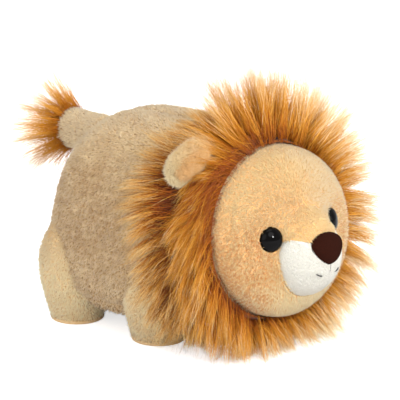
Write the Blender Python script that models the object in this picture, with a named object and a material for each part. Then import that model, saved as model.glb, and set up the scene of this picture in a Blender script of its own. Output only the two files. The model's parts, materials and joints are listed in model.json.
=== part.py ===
"""A plush lion of the loaf-shaped kind: a stuffed body and face, a two-part fur mane,
ears, stub legs and a tail with a fur tuft, with button eyes locked behind the face.

+Z is up, the face looks along -Y, and the lion's left side is +X. Lengths are in metres.
"Back" is the distance behind the seam between face and body, and "forward" is ahead of it.
"""

import math
from collections import namedtuple

import bmesh
import bpy
from mathutils import Matrix, Vector

# Clearances and cloth
GAP = 0.0003
CLOTH = 0.004
OVERRUN = 0.010

# Face: a domed oval in the front end of the loaf, looking a little upwards
FACE_WIDTH = 0.142
FACE_TALL = 0.126
FACE_HEIGHT = 0.089
FACE_DOME = 0.031
FACE_FULLNESS = 2.5
FACE_LEAN = 0.13

# Body: a loaf that swells behind the face and leans out towards the haunches
BODY_LENGTH = 0.185
BODY_WIDTH = 0.147
BODY_HEIGHT = 0.154
BELLY_RISE = 0.0065
BODY_CENTRE = BELLY_RISE + BODY_HEIGHT / 2
RUMP_START = 0.115
BODY_SQUARENESS = 2.5
BELLY_SQUARENESS = 3.6
RUMP_SQUARENESS = 3.0
RUMP_LEAN = 0.30
RUMP_CORNER = 0.10
RUMP_EYELET = 0.0012

# Muzzle: an egg set into the face, parted into a peach bridge and a white snout
MUZZLE_WIDTH = 0.062
MUZZLE_DROP = 0.0145
MUZZLE_TALL = 0.057
MUZZLE_BACK = 0.0035
MUZZLE_REACH = 0.024
PARTING_RISE = 0.018

# Nose: a padded triangle on the upper front of the snout
NOSE_WIDTH = 0.028
NOSE_TALL = 0.023
NOSE_THICK = 0.0125
NOSE_PROUD = 0.0045
NOSE_LIFT = math.radians(24)
NOSE_TAPER = 0.30

# Eyes: domed buttons drawn into the face, each on a post with a lock washer behind the cloth
EYE_RADIUS = 0.0088
EYE_DENT = 0.0065
EYE_DENT_RADIUS = 0.017
EYE_DENT_SHIFT = 0.008
EYE_SEAT = 0.0012
EYE_DOME = 0.0055
EYE_RIM = 0.0012
EYE_SPREAD = 0.0345
EYE_RISE = 0.0055
EYE_POST_RADIUS = 0.0022
EYE_POST_LENGTH = 0.013
WASHER_RADIUS = 0.0070
WASHER_THICK = 0.0018
WASHER_DROP = 0.0012

# Mane: two rings of long fur, with the ears sewn in between them
MANE_START = 0.0015
MANE_FRONT_BAND = 0.018
MANE_PARTING = 0.011
MANE_BACK_BAND = 0.021
CROWN_SWEEP = 0.008
CROWN_FOCUS = 6
SWEEP_CURL = 3
FRONT_DRAW = 0.38
BACK_DRAW = 0.50
FRONT_LOCK_RISE = 0.009
BACK_LOCK_RISE = 0.005
MANE_FLOOR = 0.0015
FRONT_LOCKS = 22
BACK_LOCKS = 20
POINTS_PER_LOCK = 4

# Ears: half-round pads that fold on the seam along their root
EAR_WIDTH = 0.040
EAR_TALL = 0.027
EAR_THICK = 0.011
EAR_ROOT = 0.004
EAR_SEAT = 0.0028
EAR_ANGLE = math.radians(45)
EAR_TURN = math.radians(24)
EAR_LEAN = math.radians(6)
EAR_SWING = math.radians(17)
LINING_INSET = 0.0065
LINING_THICK = 0.0034
LINING_SINK = 0.0016
LINING_FULLNESS = 0.7

# Legs: short stubs whose thighs swell out of the loaf's sides
FRONT_LEG_SPREAD = 0.044
HIND_LEG_SPREAD = 0.0465
FRONT_LEG_BACK = 0.076
HIND_LEG_BACK = 0.157
FRONT_LEG_RADIUS = 0.0205
HIND_LEG_RADIUS = 0.0205
FRONT_LEG_TALL = 0.060
HIND_LEG_TALL = 0.084
FRONT_THIGH_SWELL = 0.002
HIND_THIGH_SWELL = 0.0045
FRONT_THIGH_SHIFT = 0.0085
HIND_THIGH_SHIFT = 0.0085
SOLE_THICK = 0.003
SOLE_EDGE = 0.0012

# Tail: a stuffed tube on a rounded root, with a tuft on a rounded root of its own
TAIL_ROOT = 0.0155
TAIL_WAIST = 0.0118
TAIL_RADIUS = 0.0155
TAIL_LENGTH = 0.0388
TAIL_STAND = 0.003
TAIL_RISE = math.radians(5)
TAIL_TURN = math.radians(68.2)
TAIL_END_ROUND = 0.004
TUFT_ROOT = 0.009
TUFT_WAIST = 0.0070
TUFT_RADIUS = 0.024
TUFT_LENGTH = 0.050
TUFT_LOCK = 0.006
TUFT_LOCKS = 10
TUFT_DROOP = math.radians(12)

# How finely the round forms are divided
AROUND = 36
BELLY_STEPS = 10
BARREL_STEPS = 5
RUMP_STEPS = 8
DOME_STEPS = 7
BALL_STEPS = 14
ROUND_STEPS = 6
EDGE_STEPS = 3
LEG_AROUND = 20
EAR_AROUND = 20
SMALL_AROUND = 24
SHARP_ANGLE = math.radians(50)
# Makes the highest value of s squared times (1 - s) one
CORNER_PEAK = 6.75

# How tall the locks of a mane or tuft are, one after another, as shares of the tallest
LOCK_SHARES = (1.0, 0.62, 0.86, 0.45, 0.94, 0.70, 0.55)
# How deep the fur of a mane ring is, as (degrees from the crown towards the throat, depth):
# high at the crown, flat where the ears stand, and full at the cheeks
FRONT_DEPTHS = (
    (0, 0.036),
    (18, 0.031),
    (30, 0.022),
    (40, 0.0115),
    (52, 0.0095),
    (62, 0.013),
    (74, 0.022),
    (86, 0.029),
    (100, 0.034),
    (130, 0.031),
    (155, 0.024),
    (180, 0.021),
)
BACK_DEPTHS = (
    (0, 0.0155),
    (45, 0.0125),
    (90, 0.0125),
    (120, 0.014),
    (150, 0.013),
    (180, 0.010),
)
# A mane ring's section as (share of the band, share of the fur's depth, share of the lock)
FRONT_SECTION_SHARES = (
    (0.00, 0.0, 0.0),
    (-0.30, 0.36, 0.0),
    (-0.52, 0.78, 0.45),
    (-0.32, 1.0, 1.0),
    (0.35, 0.86, 0.45),
    (1.02, 0.68, 0.30),
    (1.12, 0.30, 0.0),
    (1.00, 0.0, 0.0),
)
BACK_SECTION_SHARES = (
    (0.00, 0.0, 0.0),
    (-0.12, 0.35, 0.0),
    (0.00, 0.55, 0.15),
    (0.60, 0.72, 0.35),
    (1.25, 0.92, 0.70),
    (1.80, 1.0, 1.0),
    (1.50, 0.42, 0.15),
    (1.04, 0.12, 0.0),
    (1.00, 0.0, 0.0),
)
# A leg's outline as (share of its height, share of the thigh's swell, share of its shift,
# share of its plain radius)
LEG_SHARES = (
    (0.00, 0.0, 0.0, 1.0),
    (0.10, 0.35, 0.04, 1.02),
    (0.26, 0.8, 0.22, 1.04),
    (0.45, 1.0, 0.55, 1.02),
    (0.64, 0.9, 0.85, 0.92),
    (0.82, 0.5, 1.0, 0.68),
    (0.95, 0.1, 1.0, 0.36),
)
# An ear's outline as (share of its height above the root, share of its width, of its thickness)
EAR_SHARES = (
    (0.12, 0.86, 0.86),
    (0.30, 0.97, 1.0),
    (0.50, 1.0, 1.0),
    (0.68, 0.93, 0.96),
    (0.83, 0.76, 0.84),
    (0.94, 0.49, 0.62),
    (0.99, 0.22, 0.34),
)
# An ear's round root as (turn up from its lowest line in degrees, share of the ear's width)
EAR_ROOT_SHARES = ((22, 0.72), (55, 0.78), (90, 0.81))
# How far along the tail its neck has opened half way, and fully
TAIL_NECK_SHARE = 0.2
TAIL_FULL_SHARE = 0.5
# The nose pad as (share of its thickness from the back, share of its outline)
NOSE_SHARES = ((0.0, 0.90), (0.45, 1.0), (0.66, 0.95), (0.84, 0.74), (0.95, 0.45))
# The tuft as (share of its length, share of its radius, share of its locks)
TUFT_SHARES = (
    (0.13, 0.32, 0.0),
    (0.32, 0.80, 0.4),
    (0.58, 1.0, 1.0),
    (0.74, 0.78, 0.6),
    (0.88, 0.42, 0.3),
)

MATERIALS = {
    "tan_plush": ((0.66, 0.50, 0.32), 0.95, 0.0),
    "peach_plush": ((0.86, 0.62, 0.36), 0.95, 0.0),
    "white_plush": ((0.90, 0.88, 0.84), 0.95, 0.0),
    "cream_plush": ((0.80, 0.66, 0.42), 0.95, 0.0),
    "mane_fur": ((0.66, 0.36, 0.13), 0.85, 0.0),
    "nose_cloth": ((0.075, 0.026, 0.018), 0.70, 0.0),
    "eye_plastic": ((0.012, 0.010, 0.010), 0.08, 0.0),
    "washer_plastic": ((0.80, 0.80, 0.78), 0.45, 0.0),
    "fibre_fill": ((0.90, 0.90, 0.88), 1.0, 0.0),
}


def clear_scene():
    """Removes the objects that a new scene starts with."""
    for obj in list(bpy.data.objects):
        bpy.data.objects.remove(obj)


def material(slot):
    """A Principled material with the slot's colour, roughness and metallic value."""
    found = bpy.data.materials.get(slot)
    if found:
        return found
    colour, roughness, metallic = MATERIALS[slot]
    made = bpy.data.materials.new(slot)
    made.use_nodes = True
    shader = made.node_tree.nodes["Principled BSDF"]
    shader.inputs["Base Color"].default_value = (*colour, 1)
    shader.inputs["Roughness"].default_value = roughness
    shader.inputs["Metallic"].default_value = metallic
    made.diffuse_color = (*colour, 1)
    return made


def add_object(name, bm, slot, frame=None):
    """Makes the mesh an object with its own origin and turn, under the toy's empty."""
    bmesh.ops.recalc_face_normals(bm, faces=bm.faces)
    mesh = bpy.data.meshes.new(name)
    bm.to_mesh(mesh)
    bm.free()
    mesh.shade_smooth()
    mesh.set_sharp_from_angle(angle=SHARP_ANGLE)
    mesh.materials.append(material(slot))
    return place(bpy.data.objects.new(name, mesh), toy, frame)


def place(obj, parent, frame=None):
    """Puts a new object in the scene, under its parent and at a frame in the parent's space."""
    bpy.context.scene.collection.objects.link(obj)
    obj.parent = parent
    if frame:
        obj.matrix_local = frame
    return obj


def split_patch(bm, corners, heart):
    """Fills four corners with two triangles that bulge away from the heart, so that nested
    skins with unlike corner orders still run parallel."""
    a, b, c, d = corners
    if ((a.co + c.co) / 2 - heart).length > ((b.co + d.co) / 2 - heart).length:
        halves = ((a, b, c), (a, c, d))
    else:
        halves = ((b, c, d), (b, d, a))
    for half in halves:
        bm.faces.new(half)


def loft(name, rings, slot, frame=None, wrap=False):
    """Skins a row of rings of equal count. A ring of one point is a pole, and wrap joins
    the last ring to the first."""
    bm = bmesh.new()
    rows = [[bm.verts.new(point) for point in ring] for ring in rings]
    heart = sum((v.co for v in bm.verts), Vector()) / len(bm.verts)
    pairs = list(zip(rows, rows[1:]))
    if wrap:
        pairs.append((rows[-1], rows[0]))
    for low, high in pairs:
        count = max(len(low), len(high))
        for i in range(count):
            j = (i + 1) % count
            if len(low) == 1:
                bm.faces.new((low[0], high[j], high[i]))
            elif len(high) == 1:
                bm.faces.new((low[i], low[j], high[0]))
            else:
                split_patch(bm, (low[i], low[j], high[j], high[i]), heart)
    if not wrap:
        for row in (rows[0], rows[-1]):
            if len(row) > 1:
                bm.faces.new(row)
    return add_object(name, bm, slot, frame)


def quilt(name, outer, inner, slot):
    """Joins two open grids of points, one over the other, into one panel with its edges."""
    bm = bmesh.new()
    heart = Vector((0, BODY_LENGTH / 2, BODY_CENTRE))
    top = [[bm.verts.new(point) for point in row] for row in outer]
    under = [[bm.verts.new(point) for point in row] for row in inner]
    last_row, last = len(top) - 1, len(top[0]) - 1
    for i in range(last_row):
        for j in range(last):
            for skin in (top, under):
                corners = (skin[i][j], skin[i][j + 1], skin[i + 1][j + 1], skin[i + 1][j])
                split_patch(bm, corners, heart)
        for j in (0, last):
            bm.faces.new((top[i][j], top[i + 1][j], under[i + 1][j], under[i][j]))
    for i in (0, last_row):
        for j in range(last):
            bm.faces.new((top[i][j], top[i][j + 1], under[i][j + 1], under[i][j]))
    return add_object(name, bm, slot)


def circle(radius, height, count=SMALL_AROUND):
    """A ring of points round the local Z axis."""
    angles = [2 * math.pi * i / count for i in range(count)]
    return [Vector((radius * math.cos(a), radius * math.sin(a), height)) for a in angles]


def turned(name, profile, slot, frame, count=SMALL_AROUND):
    """Turns (radius, height) points round the frame's Z axis. A radius of zero is a pole."""
    rings = [circle(r, h, count) if r else [Vector((0, 0, h))] for r, h in profile]
    return loft(name, rings, slot, frame)


def make_cutter(obj):
    """Hides an object that only cuts others."""
    obj.hide_render = True
    obj.display_type = "WIRE"
    return obj


def cut(obj, cutter):
    """Takes the cutter's shape out of the object."""
    modifier = obj.modifiers.new(f"cut_by_{cutter.name}", "BOOLEAN")
    modifier.operation = "DIFFERENCE"
    modifier.solver = "EXACT"
    modifier.object = cutter


def box(name, low, high):
    """A hidden box between two corners."""
    bm = bmesh.new()
    bmesh.ops.create_cube(bm, size=1)
    size = Vector(high) - Vector(low)
    bmesh.ops.scale(bm, vec=size, verts=bm.verts)
    bmesh.ops.translate(bm, vec=(Vector(high) + Vector(low)) / 2, verts=bm.verts)
    return make_cutter(add_object(name, bm, "fibre_fill"))


def frame_along(origin, z_axis, x_axis):
    """A frame at origin with the given Z direction, and X as near x_axis as that allows."""
    z = Vector(z_axis).normalized()
    x = (Vector(x_axis) - z * z.dot(Vector(x_axis))).normalized()
    turn = Matrix((x, z.cross(x), z)).transposed().to_4x4()
    return Matrix.Translation(origin) @ turn


def power(value, exponent):
    """A power that keeps the sign."""
    return math.copysign(abs(value) ** exponent, value)


def loaf_swell(back):
    """How far the loaf has swollen from the face's outline, 0, to the body's, 1."""
    return math.sin(min(max(back / RUMP_START, 0), 1) * math.pi / 2)


def eye_dent(x, z, share):
    """How deep the eyes draw the face in at a sideways place and a height. Share runs from 0
    in the middle of the face to 1 at its seam, where no dent is left."""
    distance = math.hypot(abs(x) - EYE_SPREAD - EYE_DENT_SHIFT, z - FACE_HEIGHT - EYE_RISE)
    return EYE_DENT * math.exp(-((distance / EYE_DENT_RADIUS) ** 2)) * (1 - share**FACE_FULLNESS)


def section(back, angle):
    """Half width, half height, centre height and squareness of the loaf at a distance back."""
    swell = loaf_swell(back)
    half_width = (FACE_WIDTH + (BODY_WIDTH - FACE_WIDTH) * swell) / 2
    half_height = (FACE_TALL + (BODY_HEIGHT - FACE_TALL) * swell) / 2
    centre = FACE_HEIGHT + (BODY_CENTRE - FACE_HEIGHT) * swell
    squareness = BODY_SQUARENESS if math.sin(angle) > 0 else BELLY_SQUARENESS
    return half_width, half_height, centre, 2 + (squareness - 2) * swell


def loaf_point(back, scale, grow, angle):
    """A point of the loaf's section at a distance back, scaled about its centre. Over the rump
    the section stands higher, so that the back ends in a fuller corner."""
    half_width, half_height, centre, square = section(back, angle)
    if back > RUMP_START:
        corner = CORNER_PEAK * scale**2 * (1 - scale)
        scale += RUMP_CORNER * corner * max(math.sin(angle), 0) ** 2
    x = (half_width + grow) * scale * power(math.cos(angle), 2 / square)
    z = (half_height + grow) * scale * power(math.sin(angle), 2 / square)
    lean = FACE_LEAN * (1 - loaf_swell(back)) - RUMP_LEAN * (max(back, 0) / BODY_LENGTH) ** 2
    dent = eye_dent(x, centre + z, scale) if back < 0 else 0
    return Vector((x, back + lean * z + dent, centre + z))


def barrel_station(share, grow=0.0):
    """(back, scale, grow) along the loaf's side. Share 0 is the face seam."""
    return share * RUMP_START, 1.0, grow


def rump_station(turn, grow=0.0):
    """(back, scale, grow) round the rump. Turn 0 is where it starts, and 90 degrees its pole."""
    reach = BODY_LENGTH - RUMP_START + grow
    back = RUMP_START + reach * math.sin(turn) ** (2 / RUMP_SQUARENESS)
    return back, math.cos(turn) ** (2 / RUMP_SQUARENESS), grow


def dome_station(turn, grow=0.0):
    """(back, scale, grow) over the face. Turn 0 is the seam, and 90 degrees the middle."""
    bulge = math.sin(turn) ** (2 / FACE_FULLNESS)
    return -(FACE_DOME + grow) * bulge, math.cos(turn) ** (2 / FACE_FULLNESS), grow


def steps(count, first=0.0, last=math.pi / 2):
    """Angles from first to last in even steps, both ends included."""
    return [first + (last - first) * i / count for i in range(count + 1)]


def seam_turn(grow=0.0):
    """The dome's turn that leaves half a gap to the seam's plane."""
    return math.asin((GAP / 2 / (FACE_DOME + grow)) ** (FACE_FULLNESS / 2))


def whole_ring(station, count=AROUND):
    """The loaf's closed ring at a station."""
    return [loaf_point(*station, 2 * math.pi * i / count) for i in range(count)]


def dome_pole(grow=0.0):
    """The middle of the face."""
    return [Vector((0, -(FACE_DOME + grow), FACE_HEIGHT))]


def loaf_rings(grow):
    """The whole loaf, face and body, grown by a distance, from pole to pole."""
    dome = [whole_ring(dome_station(t, grow)) for t in reversed(steps(DOME_STEPS)[1:-1])]
    barrel = [whole_ring(barrel_station(i / BARREL_STEPS, grow)) for i in range(BARREL_STEPS)]
    rump = [whole_ring(rump_station(t, grow)) for t in steps(RUMP_STEPS)[:-1]]
    end = [Vector((0, BODY_LENGTH + grow, BODY_CENTRE))]
    return [dome_pole(grow), *dome, *barrel, *rump, end]


def panel_grid(angles, grow):
    """Points of a body panel between two seams, half a gap off each."""
    eyelet = math.acos((RUMP_EYELET / (BODY_WIDTH / 2)) ** (RUMP_SQUARENESS / 2))
    stations = [barrel_station(GAP / 2 / RUMP_START, grow)]
    stations += [barrel_station(i / BARREL_STEPS, grow) for i in range(1, BARREL_STEPS)]
    stations += [rump_station(turn, grow) for turn in steps(RUMP_STEPS, 0.0, eyelet)]
    grid = []
    for station in stations:
        row = [loaf_point(*station, angle) for angle in angles]
        for edge, beside in ((0, 1), (-1, -2)):
            inward = loaf_point(*station, angles[beside]) - loaf_point(*station, angles[edge])
            row[edge] += inward.normalized() * GAP / 2
        grid.append(row)
    return grid


def make_body_panel(name, first, last, count):
    """A sewn panel of the body cover, between two seam angles."""
    angles = steps(count, first, last)
    return quilt(name, panel_grid(angles, 0.0), panel_grid(angles, -CLOTH), "tan_plush")


def make_body():
    """The two side panels, which meet along the spine, and the gusset under the belly."""
    top, under = math.pi / 2, 3 * math.pi / 2
    half_gusset = math.pi * BELLY_STEPS / AROUND
    count = (AROUND - BELLY_STEPS) // 2
    left = make_body_panel("side_panel_left", under - 2 * math.pi + half_gusset, top, count)
    right = make_body_panel("side_panel_right", top, under - half_gusset, count)
    belly = make_body_panel("belly_gusset", under - half_gusset, under + half_gusset, BELLY_STEPS)
    return left, right, belly


def make_face():
    """The face panel, a dome of cloth that closes the front of the body cover."""
    outer = [whole_ring(dome_station(t)) for t in reversed(steps(DOME_STEPS, seam_turn())[:-1])]
    lining = steps(DOME_STEPS, seam_turn(-CLOTH))[:-1]
    inner = [whole_ring(dome_station(t, -CLOTH)) for t in lining]
    return loft("face_panel", [dome_pole(), *outer, *inner, dome_pole(-CLOTH)], "peach_plush")


def make_loaf_cutter(name, grow):
    """The whole loaf grown by a distance, for cutting what lies on it."""
    return make_cutter(loft(name, loaf_rings(grow), "fibre_fill"))


def dome_forward(x, z):
    """How far forward the face lies at a sideways place and a height."""
    rise = z - FACE_HEIGHT
    share = math.hypot(2 * x / FACE_WIDTH, 2 * rise / FACE_TALL)
    bulge = (1 - share**FACE_FULLNESS) ** (1 / FACE_FULLNESS)
    return FACE_DOME * bulge - FACE_LEAN * rise - eye_dent(x, z, share)


def muzzle_centre():
    return Vector((0, -(FACE_DOME - MUZZLE_BACK), FACE_HEIGHT - MUZZLE_DROP))


def muzzle_egg(name, grow):
    """The muzzle's egg, grown by a distance, as rings round its forward axis."""
    half = Vector((MUZZLE_WIDTH / 2 + grow, MUZZLE_REACH + grow, MUZZLE_TALL / 2 + grow))
    rings = []
    for turn in steps(BALL_STEPS, -math.pi / 2, math.pi / 2):
        reach, scale = -math.sin(turn) * half.y, math.cos(turn)
        ring = [
            muzzle_centre() + Vector((p.x * half.x * scale, reach, p.y * half.z * scale))
            for p in circle(1, 0)
        ]
        rings.append(ring)
    rings[0] = [muzzle_centre() + Vector((0, half.y, 0))]
    rings[-1] = [muzzle_centre() - Vector((0, half.y, 0))]
    return loft(name, rings, "white_plush")


def make_muzzle(face_cutter):
    """The white snout and the peach bridge over it, parted by a level seam."""
    parting = muzzle_centre().z + PARTING_RISE
    low = muzzle_centre() - Vector((MUZZLE_WIDTH, MUZZLE_REACH + OVERRUN, MUZZLE_TALL))
    high = muzzle_centre() + Vector((MUZZLE_WIDTH, MUZZLE_REACH + OVERRUN, MUZZLE_TALL))
    above = box("above_parting", (low.x, low.y, parting - GAP / 2), high)
    below = box("below_parting", low, (high.x, high.y, parting + GAP / 2))
    snout, bridge = muzzle_egg("snout", 0.0), muzzle_egg("muzzle_bridge", 0.0)
    bridge.data.materials[0] = material("peach_plush")
    for piece, side in ((snout, above), (bridge, below)):
        cut(piece, face_cutter)
        cut(piece, side)


def make_nose():
    """The nose pad: a triangle with round corners, domed, and hollowed to sit on the snout."""
    half_tall, half_reach = MUZZLE_TALL / 2, MUZZLE_REACH
    seat = muzzle_centre() + Vector(
        (0, -half_reach * math.cos(NOSE_LIFT), half_tall * math.sin(NOSE_LIFT))
    )
    outward = Vector((0, -math.cos(NOSE_LIFT) / half_reach, math.sin(NOSE_LIFT) / half_tall))
    frame = frame_along(seat, outward, (1, 0, 0))
    rings = []
    for thick_share, outline_share in NOSE_SHARES:
        height = NOSE_PROUD - NOSE_THICK * (1 - thick_share)
        ring = [
            Vector(
                (
                    p.x * NOSE_WIDTH / 2 * outline_share * (1 + NOSE_TAPER * p.y),
                    p.y * NOSE_TALL / 2 * outline_share,
                    height,
                )
            )
            for p in circle(1, 0)
        ]
        rings.append(ring)
    rings.append([Vector((0, 0, NOSE_PROUD))])
    nose = loft("nose_pad", rings, "nose_cloth", frame)
    cut(nose, make_cutter(muzzle_egg("muzzle_seat", GAP)))


def eye_frame(side):
    """A frame on the face at an eye, with Z pointing out of the face."""
    x, z, reach = side * EYE_SPREAD, FACE_HEIGHT + EYE_RISE, EYE_RADIUS
    across = (dome_forward(x + reach, z) - dome_forward(x - reach, z)) / (2 * reach)
    upward = (dome_forward(x, z + reach) - dome_forward(x, z - reach)) / (2 * reach)
    return frame_along(Vector((x, -dome_forward(x, z), z)), (-across, -1, -upward), (0, 0, 1))


def make_eye(side_name, side, face, filling):
    """A button eye, its post through the cloth, and the washer that locks it inside."""
    frame = eye_frame(side)
    dome = [
        (EYE_RADIUS * math.cos(t), EYE_SEAT + EYE_RIM + (EYE_DOME - EYE_RIM) * math.sin(t))
        for t in steps(ROUND_STEPS)[:-1]
    ]
    post = [(0, -EYE_POST_LENGTH), (EYE_POST_RADIUS, -EYE_POST_LENGTH), (EYE_POST_RADIUS, EYE_SEAT)]
    button = [*post, (EYE_RADIUS, EYE_SEAT), *dome, (0, EYE_SEAT + EYE_DOME)]
    turned(f"eye_{side_name}", button, "eye_plastic", frame)
    bore, top = EYE_POST_RADIUS + GAP, -CLOTH - WASHER_DROP
    washer = [
        [*circle(bore, top)],
        [*circle(bore, top - WASHER_THICK)],
        [*circle(WASHER_RADIUS, top - WASHER_THICK)],
        [*circle(WASHER_RADIUS, top)],
    ]
    loft(f"eye_washer_{side_name}", washer, "washer_plastic", frame, wrap=True)
    hole = [(0, -CLOTH - OVERRUN), (bore, -CLOTH - OVERRUN), (bore, OVERRUN), (0, OVERRUN)]
    cut(face, make_cutter(turned(f"eye_hole_{side_name}", hole, "fibre_fill", frame)))
    seat, bottom = WASHER_RADIUS + GAP, top - WASHER_THICK - GAP
    pocket = [(0, -EYE_POST_LENGTH - GAP), (bore, -EYE_POST_LENGTH - GAP), (bore, bottom)]
    pocket += [(seat, bottom), (seat, OVERRUN), (0, OVERRUN)]
    cut(filling, make_cutter(turned(f"eye_pocket_{side_name}", pocket, "fibre_fill", frame)))


def lock_height(position, locks):
    """How much of a lock's height stands at a place round the ring, from 0 to 1."""
    lock, phase = divmod(position * locks, 1)
    return LOCK_SHARES[int(lock) % len(LOCK_SHARES)] * (1 - abs(2 * phase - 1))


def fur_point(back, angle, height):
    """A point at a height off the loaf's side, kept off the floor."""
    half_width, half_height, centre, square = section(back, angle)
    point = loaf_point(back, 1.0, 0.0, angle)
    across, up = point.x / half_width, (point.z - centre) / half_height
    outward = Vector(
        (power(across, square - 1) / half_width, 0, power(up, square - 1) / half_height)
    )
    point += outward.normalized() * (GAP + height)
    point.z = max(point.z, MANE_FLOOR)
    return point


def fur_depth(depths, angle):
    """The fur's depth at a place round the loaf, straight between a table's rows."""
    place = math.degrees(math.acos(math.sin(angle)))
    for (first, low), (last, high) in zip(depths, depths[1:]):
        if place <= last:
            return low + (high - low) * (place - first) / (last - first)
    return depths[-1][1]


def make_mane_ring(name, start, band, depths, locks, rise, draw, sweep, section_shares):
    """A ring of long fur round the loaf, drawn out into pointed locks. It leans back at the
    crown by the sweep, and is drawn forward under the throat."""
    count = locks * POINTS_PER_LOCK
    deepest = max(depth for _, depth in depths)
    rings = []
    for i in range(count):
        angle = 2 * math.pi * i / count
        crown, throat = max(math.sin(angle), 0), max(-math.sin(angle), 0)
        depth = fur_depth(depths, angle)
        lock = rise * lock_height(i / count, locks) * depth / deepest
        swept = sweep * crown**CROWN_FOCUS
        ring = []
        for along, high, part in section_shares:
            back = (start + band * along) * (1 - draw * throat**2) + swept * high**SWEEP_CURL
            ring.append(fur_point(back, angle, depth * high + lock * part))
        rings.append(ring)
    return loft(name, rings, "mane_fur", wrap=True)


def ear_frame(side):
    """A frame on an ear's root: X along the root, Y out of the body, and Z to the ear's front."""
    back = MANE_START + MANE_FRONT_BAND + MANE_PARTING / 2
    seat = fur_point(back, EAR_ANGLE, EAR_SEAT)
    outward = (fur_point(back, EAR_ANGLE, EAR_TALL) - seat).normalized()
    downward = Vector((outward.z, 0, -outward.x))
    front = Vector((0, -math.cos(EAR_TURN), 0)) + downward * math.sin(EAR_TURN)
    outward = (outward + front * math.tan(EAR_LEAN)).normalized()
    mirror = Vector((side, 1, 1))
    seat, front, outward = seat * mirror, front * mirror, outward * mirror
    return frame_along(seat, front, outward.cross(front))


def ear_rings():
    """An ear's level rings, from its round root up to its top."""
    levels = []
    for degrees, width_share in EAR_ROOT_SHARES:
        turn = math.radians(degrees)
        root = (-EAR_ROOT * math.cos(turn), width_share * EAR_WIDTH / 2, EAR_ROOT * math.sin(turn))
        levels.append(root)
    levels += [(h * EAR_TALL, w * EAR_WIDTH / 2, t * EAR_THICK / 2) for h, w, t in EAR_SHARES]
    rings = [
        [Vector((p.x * half_width, height, p.y * half_thick)) for p in circle(1, 0, EAR_AROUND)]
        for height, half_width, half_thick in levels
    ]
    return [*rings, [Vector((0, EAR_TALL, 0))]]


def lining_rings(grow):
    """The ear lining's padded oval, grown by a distance, from its back to its front."""
    half_width, half_tall = EAR_WIDTH / 2 - LINING_INSET, EAR_TALL / 2 - LINING_INSET
    rings = []
    for turn in steps(ROUND_STEPS, -math.pi / 2, math.pi / 2)[1:-1]:
        scale = math.cos(turn) ** LINING_FULLNESS
        across, upward = (half_width + grow) * scale, (half_tall + grow) * scale
        level = (LINING_THICK / 2 + grow) * math.sin(turn)
        oval = circle(1, 0, EAR_AROUND)
        rings.append([Vector((p.x * across, p.y * upward + half_tall, level)) for p in oval])
    return rings


def pocket_rings():
    """The room in the mane that an ear folds in: three level rectangles, each wider than the
    one below it by the ear's swing."""
    half, root, reach = EAR_WIDTH / 2 + 2 * GAP, EAR_ROOT + 2 * GAP, EAR_TALL + OVERRUN
    lined = EAR_THICK / 2 + LINING_THICK
    swing = reach * math.tan(EAR_SWING)
    levels = (
        (-root, -root, root),
        (EAR_ROOT, -lined - 2 * GAP, lined + 2 * GAP),
        (reach, -EAR_THICK / 2 / math.cos(EAR_SWING) - swing, lined / math.cos(EAR_SWING) + swing),
    )
    rings = []
    for height, rear, front in levels:
        corners = ((-half, rear), (half, rear), (half, front), (-half, front))
        rings.append([Vector((x, height, z)) for x, z in corners])
    return rings


def make_ear(side_name, side, manes):
    """An ear and its lining, both hung from the seam that they fold on, and the pocket in the
    mane that lets them fold."""
    frame = ear_frame(side)
    hinge = place(bpy.data.objects.new(f"ear_seam_{side_name}", None), toy, frame)
    lining_depth = EAR_THICK / 2 - LINING_SINK + LINING_THICK / 2
    seat = Matrix.Translation((0, LINING_INSET, lining_depth))
    ear = loft(f"ear_{side_name}", ear_rings(), "cream_plush")
    lining = loft(f"ear_lining_{side_name}", lining_rings(0.0), "peach_plush", seat)
    seat_cutter = make_cutter(loft(f"lining_seat_{side_name}", lining_rings(GAP), "fibre_fill", seat))
    for piece in (ear, lining, seat_cutter):
        piece.parent = hinge
    cut(ear, seat_cutter)
    pocket = make_cutter(loft(f"ear_pocket_{side_name}", pocket_rings(), "fibre_fill", frame))
    for mane in manes:
        cut(mane, pocket)
    return frame


def make_root_groove(side_name, frame):
    """The groove that an ear's root lies in."""
    reach = EAR_WIDTH / 2 + OVERRUN
    ends = ((0, -reach), (EAR_ROOT + GAP, -reach), (EAR_ROOT + GAP, reach), (0, reach))
    along = frame @ Matrix.Rotation(math.pi / 2, 4, "Y")
    return make_cutter(turned(f"ear_groove_{side_name}", ends, "fibre_fill", along))


def leg_rings(leg, side, grow=0.0):
    """A leg's level rings, from the top of its sole up into the body."""
    base = SOLE_THICK + GAP - grow
    rings = []
    for height_share, swell_share, shift_share, radius_share in LEG_SHARES:
        across = side * (leg.spread + leg.shift * shift_share)
        centre = Vector((across, leg.back, base + leg.tall * height_share))
        half = leg.radius * radius_share + leg.swell * swell_share + grow
        rings.append([centre + p * half for p in circle(1, 0, LEG_AROUND)])
    return rings


def make_leg(which, side_name, side, leg, body_cutter):
    """A leg cut where it meets the loaf, with the round sole under it."""
    limb = loft(f"{which}_leg_{side_name}", leg_rings(leg, side), "tan_plush")
    cut(limb, body_cutter)
    edge = [(leg.radius - SOLE_EDGE, 0), (leg.radius, SOLE_EDGE), (leg.radius, SOLE_THICK)]
    frame = Matrix.Translation((side * leg.spread, leg.back, 0))
    sole = [(0, 0), *edge, (0, SOLE_THICK)]
    turned(f"{which}_sole_{side_name}", sole, "tan_plush", frame, LEG_AROUND)


def tail_pivot():
    """Where the tail's round root is centred, on the spine over the rump."""
    return loaf_point(*rump_station(TAIL_TURN), math.pi / 2) + Vector((0, TAIL_STAND, 0))


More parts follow.
